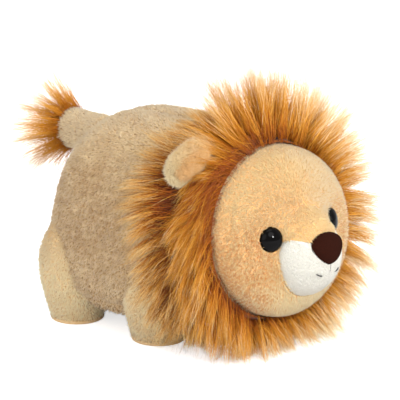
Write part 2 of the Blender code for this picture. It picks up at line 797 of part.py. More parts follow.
def tail_frame(along=0.0, droop=0.0):
    """A frame on the tail's axis, with Z pointing away from the body, or down by the droop."""
    outward = Vector((0, math.cos(TAIL_RISE), math.sin(TAIL_RISE)))
    aim = Vector((0, math.cos(TAIL_RISE - droop), math.sin(TAIL_RISE - droop)))
    return frame_along(tail_pivot() + outward * along, aim, (1, 0, 0))


def ball_profile(radius, turns):
    """(radius, height) points of a ball, at turns from its lowest point."""
    return [(radius * math.sin(turn), -radius * math.cos(turn)) for turn in turns]


def round_root(radius, waist):
    """The profile of a rounded root, from its pole to the waist beyond it."""
    return [(0, -radius), *ball_profile(radius, steps(ROUND_STEPS)[1:-1]), (waist, 0)]


def make_socket(name, root, frame):
    """The round room that a root turns in."""
    radius = root + GAP
    ball = ball_profile(radius, steps(BALL_STEPS, 0.0, math.pi)[1:-1])
    return make_cutter(turned(name, [(0, -radius), *ball, (0, radius)], "fibre_fill", frame))


def make_tail(covers):
    """The stuffed tail, and the socket that its root turns in."""
    neck = ((TAIL_WAIST + TAIL_RADIUS) / 2, TAIL_LENGTH * TAIL_NECK_SHARE)
    tube = [neck, (TAIL_RADIUS, TAIL_LENGTH * TAIL_FULL_SHARE)]
    for turn in steps(EDGE_STEPS):
        radius = TAIL_RADIUS - TAIL_END_ROUND * (1 - math.cos(turn))
        tube.append((radius, TAIL_LENGTH - TAIL_END_ROUND * (1 - math.sin(turn))))
    profile = [*round_root(TAIL_ROOT, TAIL_WAIST), *tube, (0, TAIL_LENGTH)]
    socket = make_socket("tail_socket", TAIL_ROOT, tail_frame())
    for cover in covers:
        cut(cover, socket)
    return turned("tail", profile, "tan_plush", tail_frame())


def make_tuft(tail):
    """The fur tuft: a flared brush of pointed locks on a round root in the tail's end."""
    count = TUFT_LOCKS * POINTS_PER_LOCK
    rings = [[Vector((0, 0, -TUFT_ROOT))]]
    rings += [circle(r, h, count) for r, h in round_root(TUFT_ROOT, TUFT_WAIST)[1:]]
    for length_share, radius_share, lock_share in TUFT_SHARES:
        ring = []
        for i, p in enumerate(circle(1, 0, count)):
            lock = TUFT_LOCK * lock_share * lock_height(i / count, TUFT_LOCKS)
            p *= TUFT_RADIUS * radius_share + lock
            p.z = TUFT_LENGTH * length_share + lock / 2
            ring.append(p)
        rings.append(ring)
    rings.append([Vector((0, 0, TUFT_LENGTH))])
    frame = tail_frame(TAIL_LENGTH, TUFT_DROOP)
    loft("tail_tuft", rings, "mane_fur", frame)
    cut(tail, make_socket("tuft_socket", TUFT_ROOT, frame))


def centre_on_origin():
    """Moves the toy so that its box stands centred on the origin."""
    bpy.context.view_layer.update()
    graph = bpy.context.evaluated_depsgraph_get()
    places = []
    for obj in bpy.context.scene.objects:
        if obj.type == "MESH" and not obj.hide_render:
            shown = obj.evaluated_get(graph)
            places += [(shown.matrix_world @ Vector(corner)).y for corner in shown.bound_box]
    toy.location.y = -(min(places) + max(places)) / 2


clear_scene()
toy = bpy.data.objects.new("plush_lion", None)
bpy.context.scene.collection.objects.link(toy)

panels = make_body()
face_panel = make_face()
stuffing = loft("stuffing", loaf_rings(-CLOTH - GAP), "fibre_fill")
loaf_cutter = make_loaf_cutter("loaf_seat", GAP)
make_muzzle(loaf_cutter)
make_nose()
SIDES = (("left", 1), ("right", -1))
for side_word, side_sign in SIDES:
    make_eye(side_word, side_sign, face_panel, stuffing)

crown_ring = make_mane_ring(
    "mane_front", MANE_START, MANE_FRONT_BAND, FRONT_DEPTHS, FRONT_LOCKS,
    FRONT_LOCK_RISE, FRONT_DRAW, CROWN_SWEEP, FRONT_SECTION_SHARES,
)
collar_ring = make_mane_ring(
    "mane_back", MANE_START + MANE_FRONT_BAND + MANE_PARTING, MANE_BACK_BAND, BACK_DEPTHS,
    BACK_LOCKS, BACK_LOCK_RISE, BACK_DRAW, 0, BACK_SECTION_SHARES,
)
for side_word, side_sign in SIDES:
    ear_place = make_ear(side_word, side_sign, (crown_ring, collar_ring))
    groove = make_root_groove(side_word, ear_place)
    cut(panels[0] if side_sign > 0 else panels[1], groove)

Leg = namedtuple("Leg", ("spread", "back", "radius", "tall", "swell", "shift"))
FRONT_LEG = Leg(
    FRONT_LEG_SPREAD, FRONT_LEG_BACK, FRONT_LEG_RADIUS,
    FRONT_LEG_TALL, FRONT_THIGH_SWELL, FRONT_THIGH_SHIFT,
)
HIND_LEG = Leg(
    HIND_LEG_SPREAD, HIND_LEG_BACK, HIND_LEG_RADIUS,
    HIND_LEG_TALL, HIND_THIGH_SWELL, HIND_THIGH_SHIFT,
)
for side_word, side_sign in SIDES:
    make_leg("front", side_word, side_sign, FRONT_LEG, loaf_cutter)
    make_leg("hind", side_word, side_sign, HIND_LEG, loaf_cutter)
    room = leg_rings(FRONT_LEG, side_sign, grow=2 * GAP)
    below_floor = [Vector((point.x, point.y, -OVERRUN)) for point in room[0]]
    cut(collar_ring, make_cutter(loft(f"leg_room_{side_word}", [below_floor, *room], "fibre_fill")))

tail_tube = make_tail((*panels[:2], stuffing))
make_tuft(tail_tube)
centre_on_origin()
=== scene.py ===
"""The look of a plush lion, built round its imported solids: cloth skins worked out from the
loaf's formula, short pile and long fur planted on them as tapered strands, button eyes, a
velvet nose and a stitched mouth.

Lengths are in metres and +Z is up. The face looks along -Y, and the lion's left is +X. "Back"
is the distance behind the seam between face and body. An array of points has x, y and z last.
A surface is a function of two arrays of shares from 0 to 1, u and v, that returns points.
"""

import json
import math
from collections import namedtuple

import bmesh
import bpy
import numpy as np
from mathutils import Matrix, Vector


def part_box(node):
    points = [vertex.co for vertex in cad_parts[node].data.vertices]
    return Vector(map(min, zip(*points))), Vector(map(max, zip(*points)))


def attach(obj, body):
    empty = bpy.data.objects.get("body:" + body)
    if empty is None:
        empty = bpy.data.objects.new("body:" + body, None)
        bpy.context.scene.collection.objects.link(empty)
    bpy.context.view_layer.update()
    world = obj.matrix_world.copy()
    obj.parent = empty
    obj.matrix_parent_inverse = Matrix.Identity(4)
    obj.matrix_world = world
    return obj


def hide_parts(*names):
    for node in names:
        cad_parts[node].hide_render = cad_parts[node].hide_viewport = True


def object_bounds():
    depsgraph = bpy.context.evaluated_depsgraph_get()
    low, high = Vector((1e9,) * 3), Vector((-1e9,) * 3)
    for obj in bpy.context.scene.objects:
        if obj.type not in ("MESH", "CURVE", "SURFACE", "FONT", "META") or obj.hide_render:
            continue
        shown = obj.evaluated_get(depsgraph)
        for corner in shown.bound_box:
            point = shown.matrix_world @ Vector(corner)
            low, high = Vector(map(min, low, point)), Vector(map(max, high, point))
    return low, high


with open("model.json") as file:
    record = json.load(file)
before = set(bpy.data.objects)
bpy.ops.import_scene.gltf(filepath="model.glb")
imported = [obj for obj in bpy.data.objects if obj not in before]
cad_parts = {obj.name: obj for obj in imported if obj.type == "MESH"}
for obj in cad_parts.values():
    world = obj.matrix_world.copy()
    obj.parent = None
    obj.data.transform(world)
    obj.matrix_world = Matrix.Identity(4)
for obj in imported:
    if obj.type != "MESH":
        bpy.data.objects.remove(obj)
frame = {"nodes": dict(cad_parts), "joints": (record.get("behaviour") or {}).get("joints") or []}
CAD_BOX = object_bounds()
JOINTS = {joint["name"]: joint for joint in frame["joints"]}
DRAW_SEED = 11
rng = np.random.default_rng(DRAW_SEED)

SIDEWAYS, BACKWARD, DOWNWARD = np.array(((1.0, 0.0, 0.0), (0.0, 1.0, 0.0), (0.0, 0.0, -1.0)))
SIDES = (("left", 1), ("right", -1))
QUARTER, WHOLE = math.pi / 2, 2 * math.pi

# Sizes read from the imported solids
FACE_LOW, FACE_HIGH = np.array(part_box("face_panel"))
SIDE_HIGH = np.array(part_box("side_panel_left")[1])
BELLY_LOW = np.array(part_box("belly_gusset")[0])
FRONT_SOLE, HIND_SOLE = (np.array(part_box(f"{which}_sole_left")) for which in ("front", "hind"))
FACE_WIDTH = FACE_HIGH[0] - FACE_LOW[0]
FACE_TALL = FACE_HIGH[2] - FACE_LOW[2]
FACE_HEIGHT = (FACE_HIGH[2] + FACE_LOW[2]) / 2
BODY_WIDTH = 2 * SIDE_HIGH[0]
BODY_HEIGHT = SIDE_HIGH[2] - BELLY_LOW[2]
BODY_CENTRE = (SIDE_HIGH[2] + BELLY_LOW[2]) / 2

# The loaf's form, as the solids have it: SQUARENESS is a superellipse's exponent
FRONT_LEG_BACK = 0.076
HIND_LEG_BACK = 0.157
SEAM_Y = FRONT_SOLE[:, 1].mean() - FRONT_LEG_BACK
FACE_DOME = 0.031
FACE_FULLNESS = 2.5
FACE_LEAN = 0.13
BODY_LENGTH = 0.185
RUMP_START = 0.115
BODY_SQUARENESS = 2.5
BELLY_SQUARENESS = 3.6
RUMP_SQUARENESS = 3.0
RUMP_LEAN = 0.30
RUMP_CORNER = 0.10
# Makes the highest value of s squared times (1 - s) one
CORNER_PEAK = 6.75

# The belly gusset lies between two seams, and the sides meet along the spine. A panel has its
# node, its first and last angle round the loaf, and how many hairs are planted on it.
GUSSET_TURN = math.radians(50)
HALF_GUSSET = math.atan2(
    BODY_WIDTH / 2 * math.sin(GUSSET_TURN) ** (2 / BELLY_SQUARENESS),
    BODY_HEIGHT / 2 * math.cos(GUSSET_TURN) ** (2 / BELLY_SQUARENESS),
)
BELOW = 3 * math.pi / 2
PANELS = {
    "side_cover_left": ("side_panel_left", HALF_GUSSET - QUARTER, QUARTER, 49500),
    "side_cover_right": ("side_panel_right", QUARTER, BELOW - HALF_GUSSET, 49500),
    "belly_cover": ("belly_gusset", BELOW - HALF_GUSSET, BELOW + HALF_GUSSET, 14000),
}
# Heights between which the pile turns pale towards the floor, and towards the back, where the
# paleness is painted light from above
LOW_PALE = (0.03, 0.085)
PAINTED_TOP_LIGHT = (0.115, 0.150)
PILE_BEHIND_SEAM = 0.015

# The eyes: buttons that draw the face in, and a dent's middle lies further out than the eye's
EYE_SPREAD = 0.0345
EYE_RISE = 0.0042
EYE_HEIGHT = FACE_HEIGHT + EYE_RISE
EYE_RADIUS = 0.0095
EYE_DOME = 0.0060
EYE_RIM = 0.0012
EYE_SINK = 0.0013
EYE_TURN = math.radians(34)
EYE_DENT = 0.0065
EYE_DENT_RADIUS = 0.017
EYE_DENT_SHIFT = 0.008

# The muzzle: a half egg that the dome melts into above the parting. A span has the place where
# something begins and the place where it is full.
MUZZLE_WIDTH = 0.062
MUZZLE_DROP = 0.0145
MUZZLE_TALL = 0.057
MUZZLE_BACK = 0.0035
MUZZLE_REACH = 0.024
MUZZLE_HEIGHT = FACE_HEIGHT - MUZZLE_DROP
MUZZLE_CENTRE = np.array((0, SEAM_Y - FACE_DOME + MUZZLE_BACK, MUZZLE_HEIGHT))
MUZZLE_MELT = 0.006
MELT_SINK = 0.08
MUZZLE_SHARE_SPAN = (0.08, 0.3)
PARTING_RISE = 0.018
PARTING_DIP = 0.0065
PARTING_REACH = 0.0225
PARTING_SPAN = (-0.0022, 0.0008)
BROW_PROUD = 0.0055
BROW_HEIGHT = 0.099
BROW_WIDE = 0.021
BROW_TALL = 0.014
CHEEK_OUT_SPAN = (0.018, 0.045)
CHEEK_UP_SPAN = (0.088, 0.128)
# Heights over which the chin's painted light, set against the shade under it, fades out
CHIN_LIGHT_SPAN = (0.045, 0.070)
SPECKLE = 0.0022
BROW_TINT_HEIGHT = 0.118
BROW_TINT_WIDE = 0.034
BROW_TINT_TALL = 0.026
PARTED_TALL = 0.006
PARTED_REACH = 0.03
BRIDGE_TALL = 0.016
BRIDGE_LIFT = 0.0004
BRIDGE_TUCK = 0.0006
GROOVE_DEEP = 0.0012
GROOVE_WIDE = 0.0016
FOLD_PROUD = 0.0014
FOLD_OUT = 0.0036
FOLD_SPAN = (0.012, 0.022)

# The nose, and the stitches of the mouth under it
NOSE_WIDTH = 0.0292
NOSE_TALL = 0.0240
NOSE_PROUD = 0.0057
NOSE_SINK = 0.006
NOSE_LIFT = math.radians(21)
NOSE_TAPER = 0.30
MOUTH_REACH = 0.0133
MOUTH_DROP = 0.0080
MOUTH_CURVE = 0.0022
MOUTH_PROUD = 0.0006
THREAD_TOP = 0.0005
THREAD_DROP = 0.0085
THREAD_SINK = 0.0008
THREAD_WIDE = 0.0005
ARC_WIDE = 0.0009
ARC_SINK = 0.0016
FAR_ARC_SINK = 0.0005

# The legs: how far each is behind the seam, its sole's box, its height, how far the thigh
# swells, how bright its pile is, and the seed of its hairs
Leg = namedtuple("Leg", "name back sole tall swelling bright seed")
LEGS = (
    Leg("front", FRONT_LEG_BACK, FRONT_SOLE, tall=0.060, swelling=0.002, bright=0.1, seed=310),
    Leg("hind", HIND_LEG_BACK, HIND_SOLE, tall=0.084, swelling=0.0045, bright=0.5, seed=308),
)
THIGH_SHIFT = 0.0085
SOLE_THICK = 0.003
LEG_TAN_SPAN = (0.035, 0.080)
# Up a leg: the shares of its height, of the thigh's swelling, of its shift and of its radius
LEG_SHARES = np.array(
    [
        (0.00, 0.0, 0.0, 1.0),
        (0.10, 0.35, 0.04, 1.02),
        (0.26, 0.8, 0.22, 1.04),
        (0.45, 1.0, 0.55, 1.02),
        (0.64, 0.9, 0.85, 0.92),
        (0.82, 0.5, 1.0, 0.68),
        (0.95, 0.1, 1.0, 0.36),
        (1.00, 0.0, 1.0, 0.0),
    ]
)

# The ears
EAR_WIDTH = 0.040
EAR_TALL = 0.027
EAR_THICK = 0.011
LINING_INSET = 0.0065
LINING_LIFT = 0.0018
# Up an ear: the shares of its height, its width and its thickness
EAR_SHARES = np.array(
    [
        (0.00, 0.70, 0.55),
        (0.12, 0.86, 0.86),
        (0.30, 0.97, 1.0),
        (0.50, 1.0, 1.0),
        (0.68, 0.93, 0.96),
        (0.83, 0.76, 0.84),
        (0.94, 0.49, 0.62),
        (1.00, 0.0, 0.0),
    ]
)

# The tail, and its tuft
TAIL_ROOT = 0.0155
TAIL_WAIST = 0.0178
TAIL_RADIUS = 0.0155
TAIL_LENGTH = 0.0388
TAIL_RISE = math.radians(5)
TAIL_END_ROUND = 0.004
TAIL_PILE_FROM = -0.009
TAIL_PILE_ROOT = 0.0010
TAIL_PILE_SPAN = (-0.006, 0.004)
TUFT_DROOP = math.radians(12)
TUFT_REACH = 0.062
TUFT_LOCKS = 96
TUFT_EACH = 26
TUFT_SPREAD = 0.0022
TUFT_SEED = 71
TUFT_INSET = 0.0012
TUFT_SUNK = 0.003
TUFT_OVER = 0.0045
TUFT_FAN = 0.84

# Cloth: how far a skin lies inside its solid, its wall, and the valley along a seam
SKIN_INSET = 0.0018
CLOTH = 0.0022
THIN_CLOTH = 0.001
SEAM_VALLEY = 0.0016
SEAM_REACH = 0.0035
FILLING_INSET = 0.006

# Short pile: a hair's length and width, the shares of the outward, the flowing and the gathering
# directions, the tufts' spacing, the random share, and the contrast of tone between the tufts
Coat = namedtuple("Coat", "long width outward lean bunch spacing ruffle contrast")
BODY_COAT = Coat(0.0036, 0.0012, 0.45, 0.80, 0.13, 0.0036, 0.28, 1.3)
FACE_COAT = Coat(0.0030, 0.00058, 0.5, 0.8, 0.07, 0.0022, 0.08, 0.22)
SNOUT_COAT = Coat(0.0018, 0.00045, 0.45, 0.8, 0.05, 0.003, 0.10, 0.3)
LEG_COAT = Coat(0.0038, 0.0011, 0.50, 0.85, 0.10, 0.0040, 0.26, 1.1)
EAR_COAT = Coat(0.0050, 0.0008, 0.8, 0.4, 0.16, 0.0035, 0.42, 0.8)
LINING_COAT = EAR_COAT._replace(long=0.0042)
RIM_SHORTER = 0.0014
SNOUT_CLEAR = 0.0014
SNOUT_TUCK = 0.0012
EAR_PILE_FROM = 0.001
NAP_WAVE = 0.05
LEAST_RISE = 0.15
TONE_PATCH = 0.02
PILE_ABOVE_FLOOR = 0.0004
# How many hairs each is planted with, and the seed of their directions and tones: the panels
# have their count above, and each leg its seed. The whole lion stays under two million triangles.
PLANTING = {
    "face": (49000, 201),
    "snout": (20000, 202),
    "tail": (14000, 401),
    "ear": (14000, 500),
    "lining": (3500, 510),
}
LEG_HAIRS = 12000
PANEL_SEED = 100
NAP_SEED, MOTTLE_SEED, SPECKLE_SEED = 21, 22, 205

# Long fur: strands in locks, kept off the loaf and the floor, and inside the solids' box but
# for an allowance
FUR_WIDTH = 0.00039
FUR_SPREAD = 0.0028
FUR_CLEAR = 0.0012
FUR_LOOSE = 0.008
FUR_BEFORE_SEAM = 0.0014
SEAM_SLACK = 0.001
FUR_ALLOWANCE = np.array((0.015, 0.0180, 0.013))
FUR_TAPER = 0.8
STRAND_STEPS = 5
STRAND_SIDES = 3

# Locks: how far each strand strays from its lock, how much further a wild one does, and the
# share of wild ones; the longest strand as a share of its lock, how much shorter others are,
# and how far strands close in on the lock's line
LOCK_STRAY, WILD_STRAY, WILD_SHARE = 0.05, 0.16, 0.14
LOCK_LONGEST, LOCK_UNEVEN, LOCK_CLOSING = 1.10, 0.46, 0.84
# The mane: how much a lock is turned at random rearward, round about and outward, how strongly
# it falls and turns round about, and how much strands and locks differ in tone
MANE_REARWARD, MANE_AROUND, MANE_OUTWARD = 0.12, 0.13, 0.10
MANE_FALL, MANE_TURN = 1.7, 0.25
STRAND_TONE, LOCK_TONE = 0.52, 0.65

# How a ring of fur lies, by the turn from its crown in degrees: the shares of the outward, the
# rearward and the falling direction, and the length of the fur
CROWN_FUR_RIGHT = np.array(
    [
        (0, 1.00, 0.50, 0.00, 0.061),
        (16, 0.95, 0.50, 0.00, 0.057),
        (30, 0.70, 0.45, 0.05, 0.047),
        (45, 0.55, 0.75, 0.30, 0.040),
        (65, 0.50, 0.25, 1.10, 0.036),
        (90, 0.32, 0.02, 1.80, 0.035),
        (120, 0.38, -0.05, 1.60, 0.041),
        (150, 0.65, -0.10, 0.60, 0.042),
        (180, 0.60, -0.35, 0.10, 0.033),
    ]
)
CROWN_FUR_LEFT = np.array(
    [
        (0, 1.00, 0.50, 0.00, 0.061),
        (25, 1.00, 0.28, 0.00, 0.058),
        (45, 1.00, 0.00, 0.10, 0.056),
        (65, 1.00, -0.15, 0.20, 0.057),
        (90, 1.00, -0.22, 0.35, 0.056),
        (120, 0.95, -0.32, 0.45, 0.051),
        (150, 0.80, -0.40, 0.30, 0.043),
        (180, 0.60, -0.35, 0.10, 0.033),
    ]
)
COLLAR_FUR = np.array(
    [
        (0, 0.30, 0.90, 0.10, 0.028),
        (25, 0.30, 0.90, 0.12, 0.030),
        (45, 0.36, 0.90, 0.18, 0.037),
        (65, 0.40, 0.90, 0.35, 0.044),
        (80, 0.35, 0.65, 0.80, 0.038),
        (95, 0.32, 0.32, 1.10, 0.034),
        (120, 0.30, 0.12, 1.10, 0.032),
        (150, 0.35, 0.05, 0.70, 0.028),
        (180, 0.30, 0.30, 0.20, 0.020),
    ]
)

# The mane's rings: the node each stands for, the band behind the seam that it is planted in, its
# locks and the strands in each, how it lies on either side, its pieces, how much more its rear
# rows lean back, whether it parts at the ear, and how much it takes the fur's shaded copy, a
# painted shade for the gap between the rings
Ring = namedtuple("Ring", "name node band locks each right left seed pieces lean parts dark")
CROWN = Ring(
    "mane_crown_fur", "mane_front", (0.0006, 0.0190), 420, 44, CROWN_FUR_RIGHT, CROWN_FUR_LEFT,
    seed=31, pieces=3, lean=0.5, parts=True, dark=0.0,
)
# The collar takes the shaded copy of the fur's colours: painted shade in the gap behind the crown
COLLAR = Ring(
    "mane_collar_fur", "mane_back", (0.0300, 0.0505), 330, 39, COLLAR_FUR, COLLAR_FUR,
    seed=47, pieces=2, lean=0.0, parts=False, dark=1.0,
)
BACKING_FROM, BACKING_WIDE, BACKING_PROUD = 0.0005, 0.0505, 0.0008

# The fur's parting at the ear that the photo shows: (turn in degrees, spread, how far the fur is
# brushed downhill) of the fur below the ear and above it
BELOW_EAR = (45.0, 20.0, 1.3)
ABOVE_EAR = (30.0, 14.0, 0.75)
PARTING_TURN = 49.0
# The space before that ear that no strand enters: its lowest height up the ear, its inner end as
# a share of the half width, and how far ahead of the ear it reaches
EAR_BARE_FROM = 0.010
EAR_BARE_INNER = -0.05
EAR_BARE_AHEAD = 0.032
STRAND_LEAST = 0.22

# The height of the cloths' bump, and of what is smooth
CLOTH_BUMP = 0.0008
SMOOTH_BUMP = 0.0002

# Light: the room, the floor and how it glows to the camera, and the lamps by azimuth, rise,
# distance, width and watts
FLOOR_HALF = 3
FLOOR_WHITE = 0.9
ROOM_LIGHT = 0.85
FLOOR_GLOW = 0.65
LAMPS = {
    "key": (-20, 36, 1.9, 1.1, 11.0),
    "catch": (-12, 19, 1.9, 0.27, 19),
    "side": (-75, 24, 2.2, 1.6, 11),
    "top": (-20, 80, 2.0, 1.4, 10),
}


def unit(vectors):
    """Vectors of length one."""
    return vectors / np.maximum(np.linalg.norm(vectors, axis=-1, keepdims=True), 1e-12)


def ramp(value, low, high):
    """Runs smoothly from 0 at low to 1 at high: 3 t squared less 2 t cubed."""
    share = np.clip((value - low) / (high - low), 0, 1)
    return share * share * (3 - 2 * share)


def bell(value, middle, width):
    """One at the middle and falling off on both sides: e to the power of minus a square."""
    return np.exp(-(((value - middle) / width) ** 2))


def stack(x, y, z):
    """Points from three arrays of like shape."""
    return np.stack(np.broadcast_arrays(x, y, z), axis=-1)


def turned(angle, first, second):
    """Directions at an angle between two square ones: cos times the first, sin the second."""
    return np.cos(angle)[..., None] * first + np.sin(angle)[..., None] * second


def from_axes(axes, x, y, z):
    """Points from their three distances along axes, which begin with their origin."""
    origin, first, second, third = axes
    return origin + x[..., None] * first + y[..., None] * second + z[..., None] * third


def section(back, grow=0.0):
    """The loaf's section at a distance behind the seam: its half width, half height, centre and
    lean, and how full it is. It swells from the face's outline to the body's by a quarter sine."""
    full = np.sin(np.clip(back / RUMP_START, 0, 1) * QUARTER)
    half_width = (FACE_WIDTH + (BODY_WIDTH - FACE_WIDTH) * full) / 2 + grow
    half_height = (FACE_TALL + (BODY_HEIGHT - FACE_TALL) * full) / 2 + grow
    centre = FACE_HEIGHT + (BODY_CENTRE - FACE_HEIGHT) * full
    lean = FACE_LEAN * (1 - full) - RUMP_LEAN * (np.maximum(back, 0) / BODY_LENGTH) ** 2
    return half_width, half_height, centre, lean, full


def squareness(upper, full):
    """The superellipse's exponent: rounder over the back, squarer under the belly, and an
    ellipse at the face seam."""
    return 2 + (np.where(upper, BODY_SQUARENESS, BELLY_SQUARENESS) - 2) * full


def loaf(back, angle, scale=1.0, grow=0.0):
    """A point of the loaf in a direction from its section's middle. The section is a
    superellipse: the reach is (|cos/a|^n + |sin/b|^n) to the power -1/n. The rump's upper side
    is fuller by s squared times (1 - s) of the section's scale s."""
    half_width, half_height, centre, lean, full = section(back, grow)
    cosine, sine = np.cos(angle), np.sin(angle)
    corner = CORNER_PEAK * scale**2 * (1 - scale) * (np.asarray(back) > RUMP_START)
    scale = scale + RUMP_CORNER * corner * np.maximum(sine, 0) ** 2
    square = squareness(sine > 0, full)
    reach = (np.abs(cosine) / half_width) ** square + (np.abs(sine) / half_height) ** square
    reach = scale * reach ** (-1 / square)
    rise = reach * sine
    return stack(reach * cosine, SEAM_Y + back + lean * rise, centre + rise)


def along_body(share, grow=0.0):
    """(back, scale) along the body: straight to the rump's start, then a superellipse round
    the rump. Share 0 is the face seam and share 1 the pole."""
    straight = RUMP_START / BODY_LENGTH
    turn = np.clip((share - straight) / (1 - straight), 0, 1) * QUARTER
    reach = BODY_LENGTH - RUMP_START + grow
    back = np.minimum(share, straight) * BODY_LENGTH + reach * np.sin(turn) ** (2 / RUMP_SQUARENESS)
    return back, np.cos(turn) ** (2 / RUMP_SQUARENESS)


def loaf_frame(back, angle):
    """Points on the loaf's side with their outward, rearward and round-about directions."""
    small_back, small_angle = 1e-4, 0.01
    point = loaf(back, angle)
    rearward = unit(loaf(back + small_back, angle) - point)
    around = unit(loaf(back, angle + small_angle) - loaf(back, angle - small_angle))
    outward = np.cross(around, rearward)
    centre = np.array((0, 0, BODY_CENTRE))
    level = (point - centre) * np.array((1, 0, 1))
    return point, outward * np.sign((level * outward).sum(-1, keepdims=True)), rearward, around


def make_body_surface(first, last):
    """The body's skin between two seam angles, drawn in along both seams by a bell curve."""

    def surface(u, v):
        back, scale = along_body(u, -SKIN_INSET)
        edge = np.minimum(v, 1 - v) * abs(last - first) * BODY_WIDTH / 2
        valley = SEAM_VALLEY * bell(edge, 0, SEAM_REACH)
        return loaf(back, first + (last - first) * v, scale, -SKIN_INSET - valley)

    return surface


def seam_share(x, z):
    """How far a place on the face is on its way from the middle, 0, to the seam, 1."""
    return np.hypot(2 * x / FACE_WIDTH, 2 * (z - FACE_HEIGHT) / FACE_TALL)


def dome(share):
    """A superelliptic dome's height at a share of the way to its rim."""
    return (1 - share**FACE_FULLNESS) ** (1 / FACE_FULLNESS)


def eye_dent(x, z, share):
    """How deep the eyes draw the face in: a bell round each eye, none at the seam."""
    distance = np.hypot(np.abs(x) - EYE_SPREAD - EYE_DENT_SHIFT, z - EYE_HEIGHT)
    return EYE_DENT * bell(distance, 0, EYE_DENT_RADIUS) * (1 - share**FACE_FULLNESS)


def eye_forward(x, z):
    """How far the dented dome stands ahead of the seam, without the muzzle."""
    share = seam_share(x, z)
    return FACE_DOME * dome(share) - FACE_LEAN * (z - FACE_HEIGHT) - eye_dent(x, z, share)


def egg_forward(x, z):
    """How far ahead of the seam the muzzle's egg reaches, or far behind it beside the egg."""
    side, rise = 2 * x / MUZZLE_WIDTH, 2 * (z - MUZZLE_HEIGHT) / MUZZLE_TALL
    inside = 1 - side**2 - rise**2
    reach = MUZZLE_REACH * np.sqrt(np.maximum(inside, 0)) + MUZZLE_REACH * np.minimum(inside, 0)
    return FACE_DOME - MUZZLE_BACK + reach


def parting(x):
    """The height of the line between the white snout and the peach bridge: it dips in a V
    towards the nose."""
    dip = PARTING_DIP * (1 - np.minimum(np.abs(x) / PARTING_REACH, 1))
    return MUZZLE_HEIGHT + PARTING_RISE - dip


def shape_face(x, z, share, bulge, inset):
    """How far the face stands ahead of the seam: the dome, less the eyes' dents, and a soft
    brow; above the parting the muzzle's egg is melted into it, by a log of summed exponentials,
    and below it the egg's edge lies in a groove with a soft fold of cloth beside it."""
    forward = (FACE_DOME - inset) * bulge - FACE_LEAN * (z - FACE_HEIGHT) - eye_dent(x, z, share)
    brow = np.exp(-((x / BROW_WIDE) ** 2) - ((z - BROW_HEIGHT) / BROW_TALL) ** 2)
    forward = forward + BROW_PROUD * brow * bulge
    ahead = egg_forward(x, z) - inset - forward
    upper = ramp(z - parting(x), *PARTING_SPAN)
    inner = ramp(1 - share, *MUZZLE_SHARE_SPAN)
    bridge = MUZZLE_MELT * (np.logaddexp(0, ahead / MUZZLE_MELT) - np.log(2) * MELT_SINK)
    groove = -GROOVE_DEEP * bell(ahead, 0, GROOVE_WIDE)
    fold = FOLD_PROUD * ramp(np.abs(x), *FOLD_SPAN) * bell(ahead, -FOLD_OUT, GROOVE_WIDE)
    return forward + inner * (bridge * upper + (groove + fold) * (1 - upper))


def face_forward(x, z, inset):
    """How far the face stands ahead of the seam at a place inside its outline."""
    share = np.minimum(seam_share(x, z), 0.999)
    return shape_face(x, z, share, dome(share), inset)


def face_surface(u, v):
    """The face: a superelliptic dome, u from its middle to the seam and v round it, shaped by
    the eyes and the muzzle."""
    turn, angle = (1 - u) * QUARTER, WHOLE * v
    scale = np.cos(turn) ** (2 / FACE_FULLNESS)
    bulge = np.sin(turn) ** (2 / FACE_FULLNESS)
    x = (FACE_WIDTH / 2 - SKIN_INSET) * scale * np.cos(angle)
    z = FACE_HEIGHT + (FACE_TALL / 2 - SKIN_INSET) * scale * np.sin(angle)
    return stack(x, SEAM_Y - shape_face(x, z, scale, bulge, SKIN_INSET), z)


def bridge_surface(u, v):
    """The bridge over the snout: the face's own surface above the parting, u up and v across."""
    across = 2 * v - 1
    x = across * PARTING_REACH
    rise = BRIDGE_TALL * u * np.sqrt(np.maximum(1 - 0.8 * across**2, 0))
    z = parting(x) - BRIDGE_TUCK + rise
    return stack(x, SEAM_Y - face_forward(x, z, SKIN_INSET - BRIDGE_LIFT), z)


def snout_surface(u, v):
    """The white snout: the egg's front from its lower edge, u = 0, up to the parting, and v
    across it. Both run by sines, so that the steep edge has more points."""
    inset = SKIN_INSET / 2
    side = 0.998 * np.sin((2 * v - 1) * QUARTER)
    x = side * MUZZLE_WIDTH / 2
    half = MUZZLE_TALL / 2 * np.sqrt(1 - side**2)
    low = MUZZLE_HEIGHT - half
    high = np.minimum(parting(x), MUZZLE_HEIGHT + half)
    z = low + (high - low) * (1 - np.cos(u * QUARTER))
    return stack(x * (1 - 2 * inset / MUZZLE_WIDTH), SEAM_Y - egg_forward(x, z) + inset, z)


def read_table(share, table, column):
    """A value of a shape table at a share, on a smooth curve through its rows: a cubic with the
    slopes of the neighbouring rows."""
    knots, values = table[:, 0], table[:, column]
    slopes = np.gradient(values, knots)
    index = np.clip(np.searchsorted(knots, share, side="right") - 1, 0, len(knots) - 2)
    width = knots[index + 1] - knots[index]
    t = (share - knots[index]) / width
    first = (1 + 2 * t) * (1 - t) ** 2 * values[index] + t * (1 - t) ** 2 * width * slopes[index]
    second = t * t * (3 - 2 * t) * values[index + 1]
    return first + second - t * t * (1 - t) * width * slopes[index + 1]


